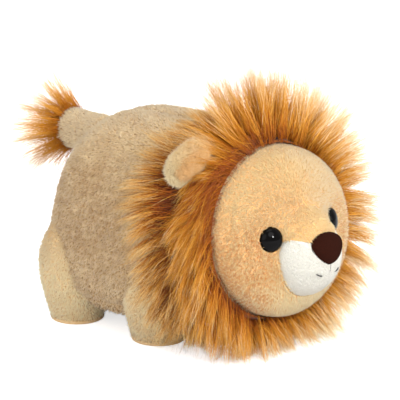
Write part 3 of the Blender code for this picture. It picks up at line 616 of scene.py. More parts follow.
def make_leg_surfaces(leg, side):
    """A leg, u up from its sole and v round it, each ring a circle from the leg's table; and its
    sole, u from the middle of its underside, over its rounded edge, to the middle of its top."""
    radius, spread = np.ptp(leg.sole[:, 0]) / 2, leg.sole[:, 0].mean()
    edge, edge_from, edge_to = SOLE_THICK / 2, 0.5, 0.75

    def ring(across, reach, v):
        angle = WHOLE * v
        return across + reach * np.cos(angle), SEAM_Y + leg.back + reach * np.sin(angle)

    def leg_surface(u, v):
        reach = radius * read_table(u, LEG_SHARES, 3) + leg.swelling * read_table(u, LEG_SHARES, 1)
        reach = np.maximum(reach - SKIN_INSET * (u < 1), 0) * (u < 1)
        across = side * (spread + THIGH_SHIFT * read_table(u, LEG_SHARES, 2))
        return stack(*ring(across, reach, v), SOLE_THICK + (leg.tall - SKIN_INSET) * u)

    def sole_surface(u, v):
        turn = (ramp(u, edge_from, edge_to) - 0.5) * math.pi
        under = (radius - edge) * np.minimum(u / edge_from, 1) + edge * np.cos(turn) * (u > edge_from)
        reach = np.where(u > edge_to, (radius - edge) * (1 - u) / (1 - edge_to), under)
        return stack(*ring(side * spread, reach, v), edge + edge * np.sin(turn))

    return leg_surface, sole_surface


def tail_axes():
    """The tail's pivot, and its sideways, upward and outward directions."""
    pivot = np.array(JOINTS["tail_wag"]["pos_m"])
    outward = np.array((0, math.cos(TAIL_RISE), math.sin(TAIL_RISE)))
    upward = np.array((0, -math.sin(TAIL_RISE), math.cos(TAIL_RISE)))
    return pivot, SIDEWAYS, upward, outward


def tail_surface(u, v):
    """The tail: a profile turned round its axis, u along the profile and v round it. The profile
    is a quarter circle at the root, straight flanks and a rounded edge, up to the end's middle."""
    pivot, sideways, upward, outward = tail_axes()
    turns = np.linspace(0, QUARTER, 7)[:-1]
    ends = np.linspace(0, QUARTER, 5)
    heights = [*(-TAIL_ROOT * np.cos(turns)), 0.0, TAIL_LENGTH * 0.2, TAIL_LENGTH * 0.5]
    radii = [*(TAIL_ROOT * np.sin(turns)), TAIL_WAIST, (TAIL_WAIST + TAIL_RADIUS) / 2, TAIL_RADIUS]
    end = TAIL_LENGTH - SKIN_INSET
    heights += [*(end - TAIL_END_ROUND * (1 - np.sin(ends))), end]
    radii += [*(TAIL_RADIUS - TAIL_END_ROUND * (1 - np.cos(ends))), 0.0]
    reach = np.concatenate(([0], np.cumsum(np.hypot(np.diff(heights), np.diff(radii)))))
    reach /= reach[-1]
    radius = np.maximum(np.interp(u, reach, radii) - SKIN_INSET, 0)
    height = np.interp(u, reach, heights)
    around = turned(WHOLE * v, sideways, upward)
    return pivot + height[..., None] * outward + radius[..., None] * around


def ear_axes(side):
    """An ear's root, and the directions along its root, up to its top and to its front."""
    joint = JOINTS["ear_fold_left" if side > 0 else "ear_fold_right"]
    along = unit(np.array(joint["axis"]))
    upward = unit(np.array((-along[2], 0.0, along[0])))
    return np.array(joint["pos_m"]), along, upward, np.cross(along, upward)


def make_ear_surfaces(side):
    """An ear, u up from its root and v round it, each ring an ellipse from the ear's table; and
    its lining, a low oval mound on the ear's front, u from its middle to its edge."""
    axes = ear_axes(side)
    half_width, half_tall = EAR_WIDTH / 2 - LINING_INSET, EAR_TALL / 2 - LINING_INSET

    def ear_surface(u, v):
        width = np.maximum(EAR_WIDTH / 2 * read_table(u, EAR_SHARES, 1) - SKIN_INSET, 0) * (u < 1)
        thick = np.maximum(EAR_THICK / 2 * read_table(u, EAR_SHARES, 2) - SKIN_INSET, 0) * (u < 1)
        angle = WHOLE * v
        height = (EAR_TALL - SKIN_INSET) * u
        return from_axes(axes, width * np.cos(angle), height, thick * np.sin(angle))

    def lining_surface(u, v):
        angle = WHOLE * v
        height = half_tall * u * np.sin(angle) + half_tall + LINING_INSET
        ahead = EAR_THICK / 2 + LINING_LIFT * np.sqrt(np.maximum(1 - u**2, 0)) - LINING_LIFT / 2
        return from_axes(axes, half_width * u * np.cos(angle), height, ahead)

    return ear_surface, lining_surface


def grid_of(rows, columns):
    """Two arrays of parameters, from 0 to 1 along the rows and the columns."""
    return np.meshgrid(np.linspace(0, 1, rows), np.linspace(0, 1, columns), indexing="ij")


def ring_quads(rings, sides):
    """The quads between rings of points that follow one another."""
    index = np.arange(rings * sides).reshape(rings, sides)
    beside = np.roll(index, -1, axis=1)
    return np.stack((index[:-1], beside[:-1], beside[1:], index[1:]), -1).reshape(-1, 4)


def fill_mesh(name, points, faces):
    """A smooth mesh object from an array of points and a list of arrays of faces of like size."""
    mesh = bpy.data.meshes.new(name)
    mesh.vertices.add(len(points))
    mesh.vertices.foreach_set("co", points.astype(np.float32).ravel())
    totals = np.concatenate([np.full(len(part), part.shape[1]) for part in faces])
    corners = np.concatenate([part.ravel() for part in faces])
    mesh.loops.add(len(corners))
    mesh.loops.foreach_set("vertex_index", corners.astype(np.int32))
    mesh.polygons.add(len(totals))
    starts = np.concatenate(([0], np.cumsum(totals)[:-1]))
    mesh.polygons.foreach_set("loop_start", starts.astype(np.int32))
    mesh.polygons.foreach_set("loop_total", totals.astype(np.int32))
    mesh.polygons.foreach_set("use_smooth", np.full(len(totals), True))
    mesh.update(calc_edges=True)
    mesh.validate()
    made = bpy.data.objects.new(name, mesh)
    bpy.context.scene.collection.objects.link(made)
    return made


def tidy_skin(piece):
    """Merges points that lie together, and turns the faces outwards from the piece's middle."""
    bm = bmesh.new()
    bm.from_mesh(piece.data)
    bmesh.ops.remove_doubles(bm, verts=bm.verts, dist=1e-5)
    bmesh.ops.dissolve_degenerate(bm, edges=bm.edges, dist=1e-6)
    middle = sum((v.co for v in bm.verts), Vector()) / len(bm.verts)
    facing = sum((f.calc_center_median() - middle).dot(f.normal) * f.calc_area() for f in bm.faces)
    if facing < 0:
        bmesh.ops.reverse_faces(bm, faces=bm.faces)
    bm.to_mesh(piece.data)
    bm.free()
    piece.data.shade_smooth()


def dress(piece, finish, *replaced, body="lion_body", fill=None):
    """Gives a piece its finish and its body, and hides what it replaces."""
    slot, material = FINISHES[finish]
    piece.data.materials.append(material)
    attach(piece, body)
    if replaced:
        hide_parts(*replaced)
    return piece


def skin(name, surface, grid, finish, node, body="lion_body", thick=0.0, fill=0.8):
    """A cloth skin from a surface's grid of rows and columns, welded where the grid meets
    itself, with a wall on its inner side."""
    index = np.arange(grid[0] * grid[1]).reshape(grid)
    quads = np.stack((index[:-1, :-1], index[:-1, 1:], index[1:, 1:], index[1:, :-1]), -1)
    piece = fill_mesh(name, surface(*grid_of(*grid)).reshape(-1, 3), [quads.reshape(-1, 4)])
    tidy_skin(piece)
    if thick:
        wall = piece.modifiers.new("wall", "SOLIDIFY")
        wall.thickness = thick
        wall.offset = -1
    return dress(piece, finish, node, body=body, fill=fill)


def tube(name, path, thick):
    """A closed round tube along a path, with domed ends that narrow over three steps."""
    steps, sides = len(path), 8
    heading = unit(np.gradient(path, axis=0))
    across = unit(np.cross(heading, (0.3, 1.0, 0.2)))
    near_end = np.minimum(np.arange(steps), np.arange(steps)[::-1])
    radius = thick / 2 * np.sqrt(np.clip((near_end + 0.001) / 2, 0, 1))
    turn = WHOLE * np.arange(sides) / sides
    ring = turned(turn, across[:, None], np.cross(heading, across)[:, None])
    points = (path[:, None] + ring * radius[:, None, None]).reshape(-1, 3)
    ends = np.stack((np.arange(sides)[::-1], (steps - 1) * sides + np.arange(sides)))
    return fill_mesh(name, points, [ring_quads(steps, sides), ends])


def strands(name, paths, width, tone, taper=0.7, tint=0.0):
    """Closed tapered strands: each ring of a path is a regular polygon across its direction,
    its radius falls as (1 - s to the power 1/taper), and the last point is the tip. A point
    carries its share along the strand, and the strand's tone and tint."""
    count, steps, _ = paths.shape
    sides = STRAND_SIDES
    share = np.linspace(0, 1, steps)
    heading = unit(np.gradient(paths, axis=1))
    across = unit(np.cross(heading, rng.normal(size=(count, 1, 3))))
    other = np.cross(heading, across)
    radius = (width[:, None] / 2 * (1 - share[None, :] ** (1 / taper)))[:, :-1, None, None]
    turn = WHOLE * np.arange(sides) / sides
    ring = turned(turn, across[:, :-1, None], other[:, :-1, None])
    rings = (paths[:, :-1, None] + ring * radius).reshape(count, -1, 3)
    points = np.concatenate((rings, paths[:, -1:]), axis=1)
    each = points.shape[1]
    place, last = np.arange(sides), (steps - 2) * sides
    tips = np.stack((last + place, last + (place + 1) % sides, np.full(sides, each - 1)), -1)
    start = (np.arange(count) * each)[:, None, None]
    forms = (ring_quads(steps - 1, sides), tips, place[::-1][None])
    faces = [(form[None] + start).reshape(-1, form.shape[1]) for form in forms if len(form)]
    piece = fill_mesh(name, points.reshape(-1, 3), faces)
    levels = np.concatenate((np.repeat(share[:-1], sides), share[-1:]))
    tint = np.broadcast_to(tint, (count,))
    carried = {"along": np.tile(levels, count), "tone": np.repeat(tone, each), "tint": np.repeat(tint, each)}
    for label, values in carried.items():
        layer = piece.data.attributes.new(label, "FLOAT", "POINT")
        layer.data.foreach_set("value", values.astype(np.float32))
    return piece


def plant(surface, count, keep=None, grid=(80, 80)):
    """Roots spread evenly by area over a surface: random cells of its grid, weighed by their
    area, and a random place in each. Returns the points that are kept and their outward
    normals."""
    rows, columns = grid
    cells = surface(*grid_of(rows, columns))
    across, along = cells[1:, :-1] - cells[:-1, :-1], cells[:-1, 1:] - cells[:-1, :-1]
    area = np.linalg.norm(np.cross(across, along), axis=-1).ravel()
    cell = rng.choice(len(area), count, p=area / area.sum())
    row, column = np.divmod(cell, columns - 1)
    su = (row + rng.random(count)) / (rows - 1)
    sv = (column + rng.random(count)) / (columns - 1)
    step = 2e-3
    up = surface(np.minimum(su + step, 1), sv) - surface(np.maximum(su - step, 0), sv)
    beside = surface(su, np.minimum(sv + step, 1)) - surface(su, np.maximum(sv - step, 0))
    points = surface(su, sv)
    normals = unit(np.cross(up, beside))
    middle = cells.reshape(-1, 3).mean(0)
    if ((points - middle) * normals).sum() < 0:
        normals = -normals
    good = np.isfinite(normals).all(-1) & (np.linalg.norm(normals, axis=-1) > 0.5)
    if keep is not None:
        good &= keep(points)
    return points[good], normals[good]


def gather(points, spacing, seed, waves=14):
    """A soft pull towards random places about one spacing apart: the slope of a sum of cosine
    waves in random directions."""
    draw = np.random.default_rng(seed)
    directions = unit(draw.normal(size=(waves, 3)))
    rates = WHOLE / (spacing * draw.uniform(0.7, 1.5, waves))
    phases = draw.uniform(0, WHOLE, waves)
    pull = np.zeros_like(points)
    for direction, rate, phase in zip(directions, rates, phases):
        pull -= np.sin(points @ direction * rate + phase)[:, None] * direction
    return pull / math.sqrt(waves / 2)


def wander(points, spacing, seed, waves=10):
    """A smooth random value from about -1 to 1: a sum of cosine waves in random directions."""
    draw = np.random.default_rng(seed)
    total = np.zeros(points.shape[:-1])
    for _ in range(waves):
        direction = unit(draw.normal(size=3))
        rate = WHOLE / (spacing * draw.uniform(0.6, 1.6))
        total += np.cos(points @ direction * rate + draw.uniform(0, WHOLE))
    return total / math.sqrt(waves)


def pile(name, planted, coat, flow, seed, tint=0.0, bright=0.0):
    """Short pile: closed straight cones along the sum of the outward normal, the flow, a pull
    towards random places that gathers them in tufts, and a random direction of their own."""
    roots, normals = planted
    count = len(roots)
    draw = np.random.default_rng(seed)
    flow = unit(flow - (flow * normals).sum(-1, keepdims=True) * normals)
    pull = gather(roots, coat.spacing, seed)
    way = coat.outward * normals + coat.lean * flow + coat.bunch * pull
    ruffle = np.broadcast_to(coat.ruffle, (count,))[:, None]
    way = unit(way + ruffle * draw.normal(size=(count, 3)))
    inward = np.minimum((way * normals).sum(-1, keepdims=True) - LEAST_RISE, 0)
    way = unit(way - inward * normals)
    long = (coat.long * draw.uniform(0.75, 1.2, count))[:, None]
    paths = np.stack((roots, roots + way * long), axis=1)
    paths[..., 2] = np.maximum(paths[..., 2], PILE_ABOVE_FLOOR)
    tone = 0.22 * wander(roots, coat.spacing * 1.3, seed + 1) + 0.12 * wander(roots, TONE_PATCH, seed + 2)
    tone = np.clip(0.5 + bright + coat.contrast * (tone + 0.10 * draw.normal(size=count)), 0, 1)
    return strands(name, paths, coat.width * draw.uniform(0.8, 1.2, count), tone, tint=tint)


def comb_locks(draw, root, outward, start, turning, long, each, spread):
    """Strands in locks. A lock's middle line is a sum of short steps of one length whose
    direction goes from its start towards the turning; its strands stand round the lock's root
    and close in on the line, and a few are wild. Returns the paths and which lock each belongs
    to."""
    share = np.linspace(0, 1, STRAND_STEPS)
    heading = unit(start[:, None] + turning[:, None] * share[None, :, None])
    line = np.cumsum(heading[:, :-1], axis=1) / (STRAND_STEPS - 1)
    line = np.concatenate((np.zeros_like(line[:, :1]), line), axis=1)
    lock = np.repeat(np.arange(len(root)), each)
    count = len(lock)
    scatter = draw.normal(size=(count, 3)) * spread
    scatter -= (scatter * outward[lock]).sum(-1, keepdims=True) * outward[lock]
    s = share[None, :, None]
    wild = LOCK_STRAY + WILD_STRAY * (draw.random((count, 1, 1)) < WILD_SHARE)
    stray = draw.normal(size=(count, 1, 3)) * wild * s**1.5
    shorter = LOCK_UNEVEN * draw.random(count) ** 1.3
    strand_long = (long[lock] * (LOCK_LONGEST - shorter))[:, None, None]
    closing = 1 - LOCK_CLOSING * s**1.2
    paths = root[lock][:, None] + strand_long * (line[lock] + stray) + scatter[:, None] * closing
    return paths, lock


def behind_seam(points):
    """How far points are behind the leaning plane of the face seam."""
    return points[..., 1] - SEAM_Y - FACE_LEAN * (points[..., 2] - FACE_HEIGHT)


def keep_off_loaf(paths, clearance):
    """Moves points of the paths that have sunk into the loaf, or the floor, back out."""
    back = behind_seam(paths)
    half_width, half_height, centre, _, full = section(back, clearance)
    height = paths[..., 2] - centre
    square = squareness(height > 0, full)
    reach = np.abs(paths[..., 0] / half_width) ** square + np.abs(height / half_height) ** square
    reach = reach ** (1 / square)
    push = np.where((back > -SEAM_SLACK) & (reach < 1), 1 / np.maximum(reach, 0.5), 1.0)
    moved = paths.copy()
    moved[..., 0] *= push
    moved[..., 2] += height * (push - 1)
    moved[..., 2] = np.maximum(moved[..., 2], FUR_CLEAR)
    return moved


def keep_in_box(paths):
    """Shortens each strand that leaves the solids' box by more than the fur's allowance. The
    floor needs none of this, and the lower side of z is left out."""
    low = np.array(CAD_BOX[0]) - FUR_ALLOWANCE
    high = np.array(CAD_BOX[1]) + FUR_ALLOWANCE
    root = paths[:, :1]
    reach = paths - root
    above = reach / np.maximum(high - root, 1e-4)
    below = -reach / np.maximum(root - low, 1e-4)
    excess = np.maximum(above.max(axis=(1, 2)), below[..., :2].max(axis=(1, 2)))
    return root + reach / np.maximum(excess, 1.0)[:, None, None]


def clear_ear(paths):
    """Shortens strands that would stand before the ear that the photo shows, the right one: each
    ends where it would first enter the space over the ear's outer half, swept forward. The ear's
    inner end, like the whole of the other ear, stays under fur."""
    steps = paths.shape[1]
    root, along, upward, front = ear_axes(-1)
    local = paths - root
    height, ahead, inward = local @ upward, local @ front, local @ along
    round_off = np.clip(1 - (height / EAR_TALL - 0.45) ** 2 / 0.42, 0, 1)
    width = EAR_WIDTH / 2 * np.sqrt(round_off)
    tall = (height > EAR_BARE_FROM) & (height < EAR_TALL * 1.25)
    near = (ahead > -EAR_THICK * 0.3) & (ahead < EAR_BARE_AHEAD)
    inside = tall & near & (inward > -width) & (inward < width * EAR_BARE_INNER)
    first = np.where(inside.any(1), inside.argmax(1), steps)
    length = np.where(first < steps, (first - 0.5) / (steps - 1), 1.0)
    length = np.maximum(length, STRAND_LEAST)[:, None]
    share = np.linspace(0, 1, steps)[None] * length * (steps - 1)
    lower = np.minimum(share.astype(int), steps - 2)
    part = (share - lower)[..., None]
    rows = np.arange(len(paths))[:, None]
    return paths[rows, lower] * (1 - part) + paths[rows, lower + 1] * part


class Wire:
    """An output socket that takes part in sums as a number does."""

    def __init__(self, recipe, socket):
        self.recipe = recipe
        self.socket = socket

    def _math(self, operation, first, second):
        return self.recipe.add("ShaderNodeMath", {"operation": operation}, {0: first, 1: second})

    def __add__(self, other):
        return self._math("ADD", self, other)

    def __sub__(self, other):
        return self._math("SUBTRACT", self, other)

    def __rsub__(self, other):
        return self._math("SUBTRACT", other, self)

    def __mul__(self, other):
        return self._math("MULTIPLY", self, other)

    __radd__ = __add__
    __rmul__ = __mul__


class Recipe:
    """The nodes of a new material or world, ending in its one shader."""

    def __init__(self, owner, **plain):
        owner.use_nodes = True
        self.owner = owner
        self.tree = owner.node_tree
        self.shader = self.tree.nodes.get("Principled BSDF") or self.tree.nodes["Background"]
        for socket, value in plain.items():
            self.shader.inputs[socket.replace("_", " ")].default_value = value

    def add(self, kind, settings=None, inputs=None, output=0):
        """A node of a type, with its settings made first, and its sockets' values or wires."""
        node = self.tree.nodes.new(kind)
        for key, value in (settings or {}).items():
            setattr(node, key, value)
        for key, value in (inputs or {}).items():
            if isinstance(value, Wire):
                self.tree.links.new(value.socket, node.inputs[key])
            else:
                node.inputs[key].default_value = value
        return Wire(self, node.outputs[output])

    def join(self, wire, socket):
        """Joins a wire to one of the shader's sockets."""
        self.tree.links.new(wire.socket, self.shader.inputs[socket])

    def blend(self, factor, low, high):
        """A colour from low at factor 0 to high at factor 1."""
        return self.add("ShaderNodeMix", {"data_type": "RGBA"}, {0: factor, 6: low, 7: high}, output=2)

    def stops(self, factor, places, codes):
        """A colour ramp through colours at places."""
        wire = self.add("ShaderNodeValToRGB", None, {0: factor})
        band = wire.socket.node.color_ramp
        while len(band.elements) < len(places):
            band.elements.new(1.0)
        for element, place, code in zip(band.elements, places, codes):
            element.position = place
            element.color = paint(code)
        return wire

    def noise(self, scale, detail):
        """Noise on the object's own coordinates, about one feature to 1/scale metres."""
        place = self.add("ShaderNodeTexCoord", output="Object")
        inputs = {"Vector": place, "Scale": scale, "Detail": detail}
        return self.add("ShaderNodeTexNoise", None, inputs)

    def attribute(self, label):
        """A number that the mesh carries at its points."""
        return self.add("ShaderNodeAttribute", {"attribute_name": label}, output="Fac")

    def spread(self, wire, low, high, least=0.0):
        """Stretches a value so that low becomes the least and high becomes 1."""
        inputs = {"Value": wire, "From Min": low, "From Max": high, "To Min": least}
        return self.add("ShaderNodeMapRange", None, inputs)

    def finish(self, colour, bump=None, bump_height=0.0):
        """Joins the colour, and a height for the bump, to the shader."""
        self.join(colour, "Base Color")
        if bump:
            heights = {"Height": bump, "Distance": bump_height, "Strength": 0.6}
            self.join(self.add("ShaderNodeBump", None, heights), "Normal")
        return self.owner


def paint(code):
    """A linear colour from its screen code, such as "C08040"."""
    values = [int(code[i : i + 2], 16) / 255 for i in (0, 2, 4)]
    linear = [v / 12.92 if v <= 0.04045 else ((v + 0.055) / 1.055) ** 2.4 for v in values]
    return (*linear, 1.0)


def make_pile_material(material, root, dark, light, tinted):
    """Short pile: darker at the root, a painted shade as between the tufts, mottled from tuft to
    tuft, and tinted from place to place by the mesh's own tint."""
    plain = {"Roughness": 0.9, "Sheen_Weight": 0.3, "Sheen_Roughness": 0.5, "Specular_IOR_Level": 0.15}
    recipe = Recipe(material, **plain)
    colour = recipe.blend(recipe.attribute("tone"), paint(dark), paint(light))
    colour = recipe.blend(recipe.attribute("tint"), colour, paint(tinted))
    # Painted shade: each hair darkens towards its root colour over the first six tenths of its length
    shade = recipe.spread(recipe.attribute("along"), 0.0, 0.6)
    return recipe.finish(recipe.blend(shade, paint(root), colour))


def make_skin_material(material, dark, light, scale=420.0):
    """The cloth under the pile: mottled, with a fine bump of its own."""
    recipe = Recipe(material, Roughness=0.95, Sheen_Weight=0.2, Specular_IOR_Level=0.1)
    fine = recipe.noise(scale, 4.0)
    colour = recipe.blend(recipe.spread(fine, 0.3, 0.7), paint(dark), paint(light))
    return recipe.finish(colour, fine, CLOTH_BUMP)


def make_fur_material(material, shaded_root, root, deep, mid, glow, tip, shaded_tip):
    """Long fur: dark at the root, partly its own colour and partly painted shade between the locks,
    gold along its middle, with a glow colour that is partly a painted highlight, and pale at the
    tip, with each strand and each lock a little lighter or darker than the next. The mesh's tint
    turns the fur to a shaded copy that stays dark for longer, a painted shade."""
    plain = {"Roughness": 0.55, "Sheen_Weight": 0.04, "Sheen_Roughness": 0.4, "Specular_IOR_Level": 0.22}
    recipe = Recipe(material, **plain)
    place = recipe.attribute("along") + (recipe.attribute("tone") - 0.5) * 0.34
    # The ramp's dark root is partly painted shade between the locks, and its glow colour partly a painted
    # highlight
    bright = recipe.stops(place, (0.0, 0.20, 0.45, 0.75, 1.0), (root, deep, mid, glow, tip))
    dark = recipe.stops(place, (0.0, 0.32, 0.55, 0.80, 1.0), (shaded_root, root, deep, glow, shaded_tip))
    return recipe.finish(recipe.blend(recipe.attribute("tint"), bright, dark))


def make_plain_material(material, colour, rough, scale, gloss=0.5):
    """One colour with slight unevenness in its tint and roughness."""
    recipe = Recipe(material, Specular_IOR_Level=gloss)
    fine = recipe.noise(scale, 3.0)
    uneven = recipe.spread(fine, 0.3, 0.7)
    recipe.join(uneven * 0.06 + rough, "Roughness")
    low = tuple(0.82 * channel for channel in paint(colour)[:3])
    return recipe.finish(recipe.blend(uneven, (*low, 1), paint(colour)), fine, SMOOTH_BUMP)


# The mane's colours: the shaded copy's root, then root, deep, mid, glow and tip, then the shaded copy's tip;
# the shaded copy is painted shade
MANE_AND_SHADE_COLOURS = ("521F05", "96490B", "B8660D", "D28A20", "ECAE48", "FBE3B4", "F6D698")
# Each finish with the record's slot it is of, its maker, and its colours and other values
FINISHES = {
    name: (slot, make(bpy.data.materials.new(name), *values))
    for name, slot, make, *values in (
        ("tan_cloth", "tan_plush", make_skin_material, "D0AC7C", "E2C294"),
        # The legs' cloth is a lighter copy of the tan cloth: painted light against the shade under the body
        ("leg_cloth", "tan_plush", make_skin_material, "E6C896", "F2DAA8"),
        ("peach_cloth", "peach_plush", make_skin_material, "E0A868", "EDBE82"),
        ("white_cloth", "white_plush", make_skin_material, "ECEAE4", "F6F4EE"),
        ("cream_cloth", "cream_plush", make_skin_material, "D8BA84", "E8CE9C"),
        # The backing's dark brown is partly its own colour and partly painted shade between the locks
        ("fur_backing", "mane_fur", make_skin_material, "6E360C", "945216"),
        ("filling_fibre", "fibre_fill", make_skin_material, "DDDDD8", "F4F4F0", 300.0),
        # A pile's first colour is the painted shade at its roots
        ("tan_pile", "tan_plush", make_pile_material, "BC9260", "C49C6A", "F6DCAE", "C49A66"),
        # The legs' pile is a lighter copy of the tan pile: painted light against the shade under the body
        ("leg_pile", "tan_plush", make_pile_material, "EEC88E", "F8D69C", "FFEEC2", "D4B080"),
        ("peach_pile", "peach_plush", make_pile_material, "E0B676", "E6C484", "F6E2B0", "D68840"),
        ("white_pile", "white_plush", make_pile_material, "ECE9DE", "F4F1E6", "FFFCF2", "F4F2EC"),
        ("cream_pile", "cream_plush", make_pile_material, "D8B67C", "E2C690", "F4E2BA", "E6B270"),
        ("mane_fur", "mane_fur", make_fur_material, *MANE_AND_SHADE_COLOURS),
        ("nose_velvet", "nose_cloth", make_plain_material, "2B120B", 0.95, 900.0, 0.04),
        ("black_thread", "nose_cloth", make_plain_material, "1A1614", 0.6, 3000.0),
        ("grey_thread", "nose_cloth", make_plain_material, "A8A49C", 0.8, 3000.0),
        ("eye_gloss", "eye_plastic", make_plain_material, "040303", 0.04, 60.0, 0.08),
        ("washer_plastic", "washer_plastic", make_plain_material, "D8D8D4", 0.4, 300.0),
    )
}


def make_filling():
    """The fibre filling under the cloth: the loaf's form again, a little smaller."""

    def surface(u, v):
        back, scale = along_body(u, -FILLING_INSET)
        return loaf(back, WHOLE * v, scale, -FILLING_INSET)

    skin("fibre_filling", surface, (60, 73), "filling_fibre", "stuffing")


def make_body():
    """The three panels of the body cover and their pile, palest on the back, where the paleness is
    painted light from above.
    """
    for number, (name, (node, first, last, count)) in enumerate(PANELS.items()):
        surface = make_body_surface(first, last)
        skin(name, surface, (90, 60), "tan_cloth", node, thick=CLOTH)
        planted = plant(surface, count, lambda points: points[:, 1] > SEAM_Y + PILE_BEHIND_SEAM)
        roots = planted[0]
        flow = BACKWARD * 0.4 + DOWNWARD * (0.9 + 0.3 * wander(roots, NAP_WAVE, NAP_SEED))[:, None]
        # Painted light: the pile is paler over the top of the body, as if lit from above, and also paler
        # towards the floor
        low, high = 1 - ramp(roots[:, 2], *LOW_PALE), ramp(roots[:, 2], *PAINTED_TOP_LIGHT)
        tint = np.clip(0.16 + 0.14 * wander(roots, TONE_PATCH, MOTTLE_SEED), 0, 1)
        bright = 0.75 * high + 0.24 * low + 0.04
        pile_name, seed = name.replace("cover", "pile"), PANEL_SEED + number
        dress(pile(pile_name, planted, BODY_COAT, flow, seed, tint, bright), "tan_pile")


def off_trim(points):
    """Whether places on the face are clear of the eyes and the snout, and ahead of the rim."""
    x, z = points[:, 0], points[:, 2]
    off_eye = np.hypot(np.abs(x) - EYE_SPREAD, z - EYE_HEIGHT) > EYE_RADIUS * 0.9
    in_egg = (2 * x / MUZZLE_WIDTH) ** 2 + (2 * (z - MUZZLE_HEIGHT) / MUZZLE_TALL) ** 2 < 0.96
    on_snout = in_egg & (z < parting(x) + SNOUT_CLEAR)
    return off_eye & (seam_share(x, z) < 0.9995) & ~on_snout


def make_face():
    """The face's cover and pile. The pile flows away from the middle, down over the parting and
    back round the rim. The cheeks are rougher, and speckled with orange, and the chin is painted
    paler, a painted light against the shade under it."""
    skin("face_cover", face_surface, (110, 160), "peach_cloth", "face_panel", thick=CLOTH)
    hairs, seed = PLANTING["face"]
    planted = plant(face_surface, hairs, off_trim, (140, 180))
    roots = planted[0]
    x, z = roots[:, 0], roots[:, 2]
    edge = seam_share(x, z)
    parted = bell(z, parting(x), PARTED_TALL) * (np.abs(x) < PARTED_REACH)
    outward = unit(roots - np.array((0, SEAM_Y, FACE_HEIGHT)))
    flow = outward * (0.8 * (1 - parted))[:, None] + DOWNWARD * (0.25 + parted)[:, None]
    flow = flow + BACKWARD * (1.2 * ramp(edge, 0.94, 0.99))[:, None]
    cheek = ramp(np.abs(x), *CHEEK_OUT_SPAN) * (1 - ramp(z, *CHEEK_UP_SPAN))
    brow = bell(x, 0, BROW_TINT_WIDE) * bell(z, BROW_TINT_HEIGHT, BROW_TINT_TALL)
    speckle = ramp(wander(roots, SPECKLE, SPECKLE_SEED), -0.3, 0.8)
    coat = FACE_COAT._replace(
        long=FACE_COAT.long - RIM_SHORTER * ramp(edge, 0.90, 0.98),
        ruffle=FACE_COAT.ruffle + 0.30 * cheek,
        contrast=FACE_COAT.contrast + 0.9 * cheek,
    )
    tint = np.clip(cheek * speckle + 0.16 * brow, 0, 1)
    # Painted light: the pile is paler under the chin, against the shade there
    bright = 1.3 * (1 - ramp(z, *CHIN_LIGHT_SPAN))
    dress(pile("face_pile", planted, coat, flow, seed, tint, bright), "peach_pile")
    skin("bridge_cover", bridge_surface, (24, 40), "peach_cloth", "muzzle_bridge", thick=THIN_CLOTH)


def make_snout():
    """The white snout, and its pile where it stands out from the face."""
    skin("snout_cover", snout_surface, (60, 90), "white_cloth", "snout", thick=CLOTH)

    def keep(points):
        ahead = SEAM_Y - points[:, 1] - face_forward(points[:, 0], points[:, 2], SKIN_INSET)
        return ahead > -SNOUT_TUCK

    hairs, seed = PLANTING["snout"]
    planted = plant(snout_surface, hairs, keep, (80, 100))
    flow = unit(planted[0] - MUZZLE_CENTRE) * 0.3 + DOWNWARD * 0.6
    dress(pile("snout_pile", planted, SNOUT_COAT, flow, seed), "white_pile")


def make_eyes():
    """The button eyes: a low dome over a rounded rim, turned about the eye's axis, which looks
    up or down as the dented dome slopes there, and outward."""
    rim = np.linspace(0, QUARTER, 6)[1:]
    turns = np.linspace(0, QUARTER, 22)
    inner = EYE_RADIUS - EYE_RIM / 2
    radii = np.concatenate((inner * np.sin(turns), inner + EYE_RIM / 2 * np.sin(rim), [0.0]))
    # The flat back begins a little inside the rim
    radii[-2] = EYE_RADIUS * 0.97
    crown = EYE_RIM + (EYE_DOME - EYE_RIM) * np.cos(turns)
    heights = np.concatenate((crown, EYE_RIM * np.cos(rim), [0.0]))
    for side_word, side in SIDES:
        x = side * EYE_SPREAD
        rise = eye_forward(x, EYE_HEIGHT + EYE_RADIUS) - eye_forward(x, EYE_HEIGHT - EYE_RADIUS)
        lift, turned_out = -math.atan(rise / (2 * EYE_RADIUS)), side * EYE_TURN
        level = math.cos(lift)
        forward = np.array(
            (level * math.sin(turned_out), -level * math.cos(turned_out), math.sin(lift))
        )
        centre = np.array((x, SEAM_Y - eye_forward(x, EYE_HEIGHT) + EYE_SINK, EYE_HEIGHT))
        sideways = unit(np.cross(forward, (0, 0, 1.0)))
        upward = np.cross(sideways, forward)

        def surface(u, v):
            row = np.round(u * (len(radii) - 1)).astype(int)
            around = turned(WHOLE * v, sideways, upward)
            return centre + heights[row][..., None] * forward + radii[row][..., None] * around

        name, node = f"eye_button_{side_word}", f"eye_{side_word}"
        skin(name, surface, (len(radii), 65), "eye_gloss", node, fill=None)


def make_nose():
    """The nose: a padded triangle. Its rings are ellipses that are wider towards their top, and
    outwards their size goes by a power of a sine, and their drop by one of a cosine."""
    cosine, sine = math.cos(NOSE_LIFT), math.sin(NOSE_LIFT)
    outward = unit(np.array((0, -cosine / MUZZLE_REACH, 2 * sine / MUZZLE_TALL)))
    seat = MUZZLE_CENTRE + np.array((0, -MUZZLE_REACH * cosine, MUZZLE_TALL / 2 * sine))
    axes = seat, SIDEWAYS, np.cross(outward, SIDEWAYS), outward

    def surface(u, v):
        turn, angle = u * QUARTER, WHOLE * v
        scale = np.sin(turn) ** 0.85
        across = NOSE_WIDTH / 2 * scale * np.cos(angle) * (1 + NOSE_TAPER * np.sin(angle))
        height = NOSE_TALL / 2 * scale * np.sin(angle)
        proud = NOSE_PROUD - (NOSE_PROUD + NOSE_SINK) * (1 - np.cos(turn)) ** 1.3
        return from_axes(axes, across, height, proud)

    skin("nose_velvet_pad", surface, (40, 72), "nose_velvet", "nose_pad", fill=0.9)


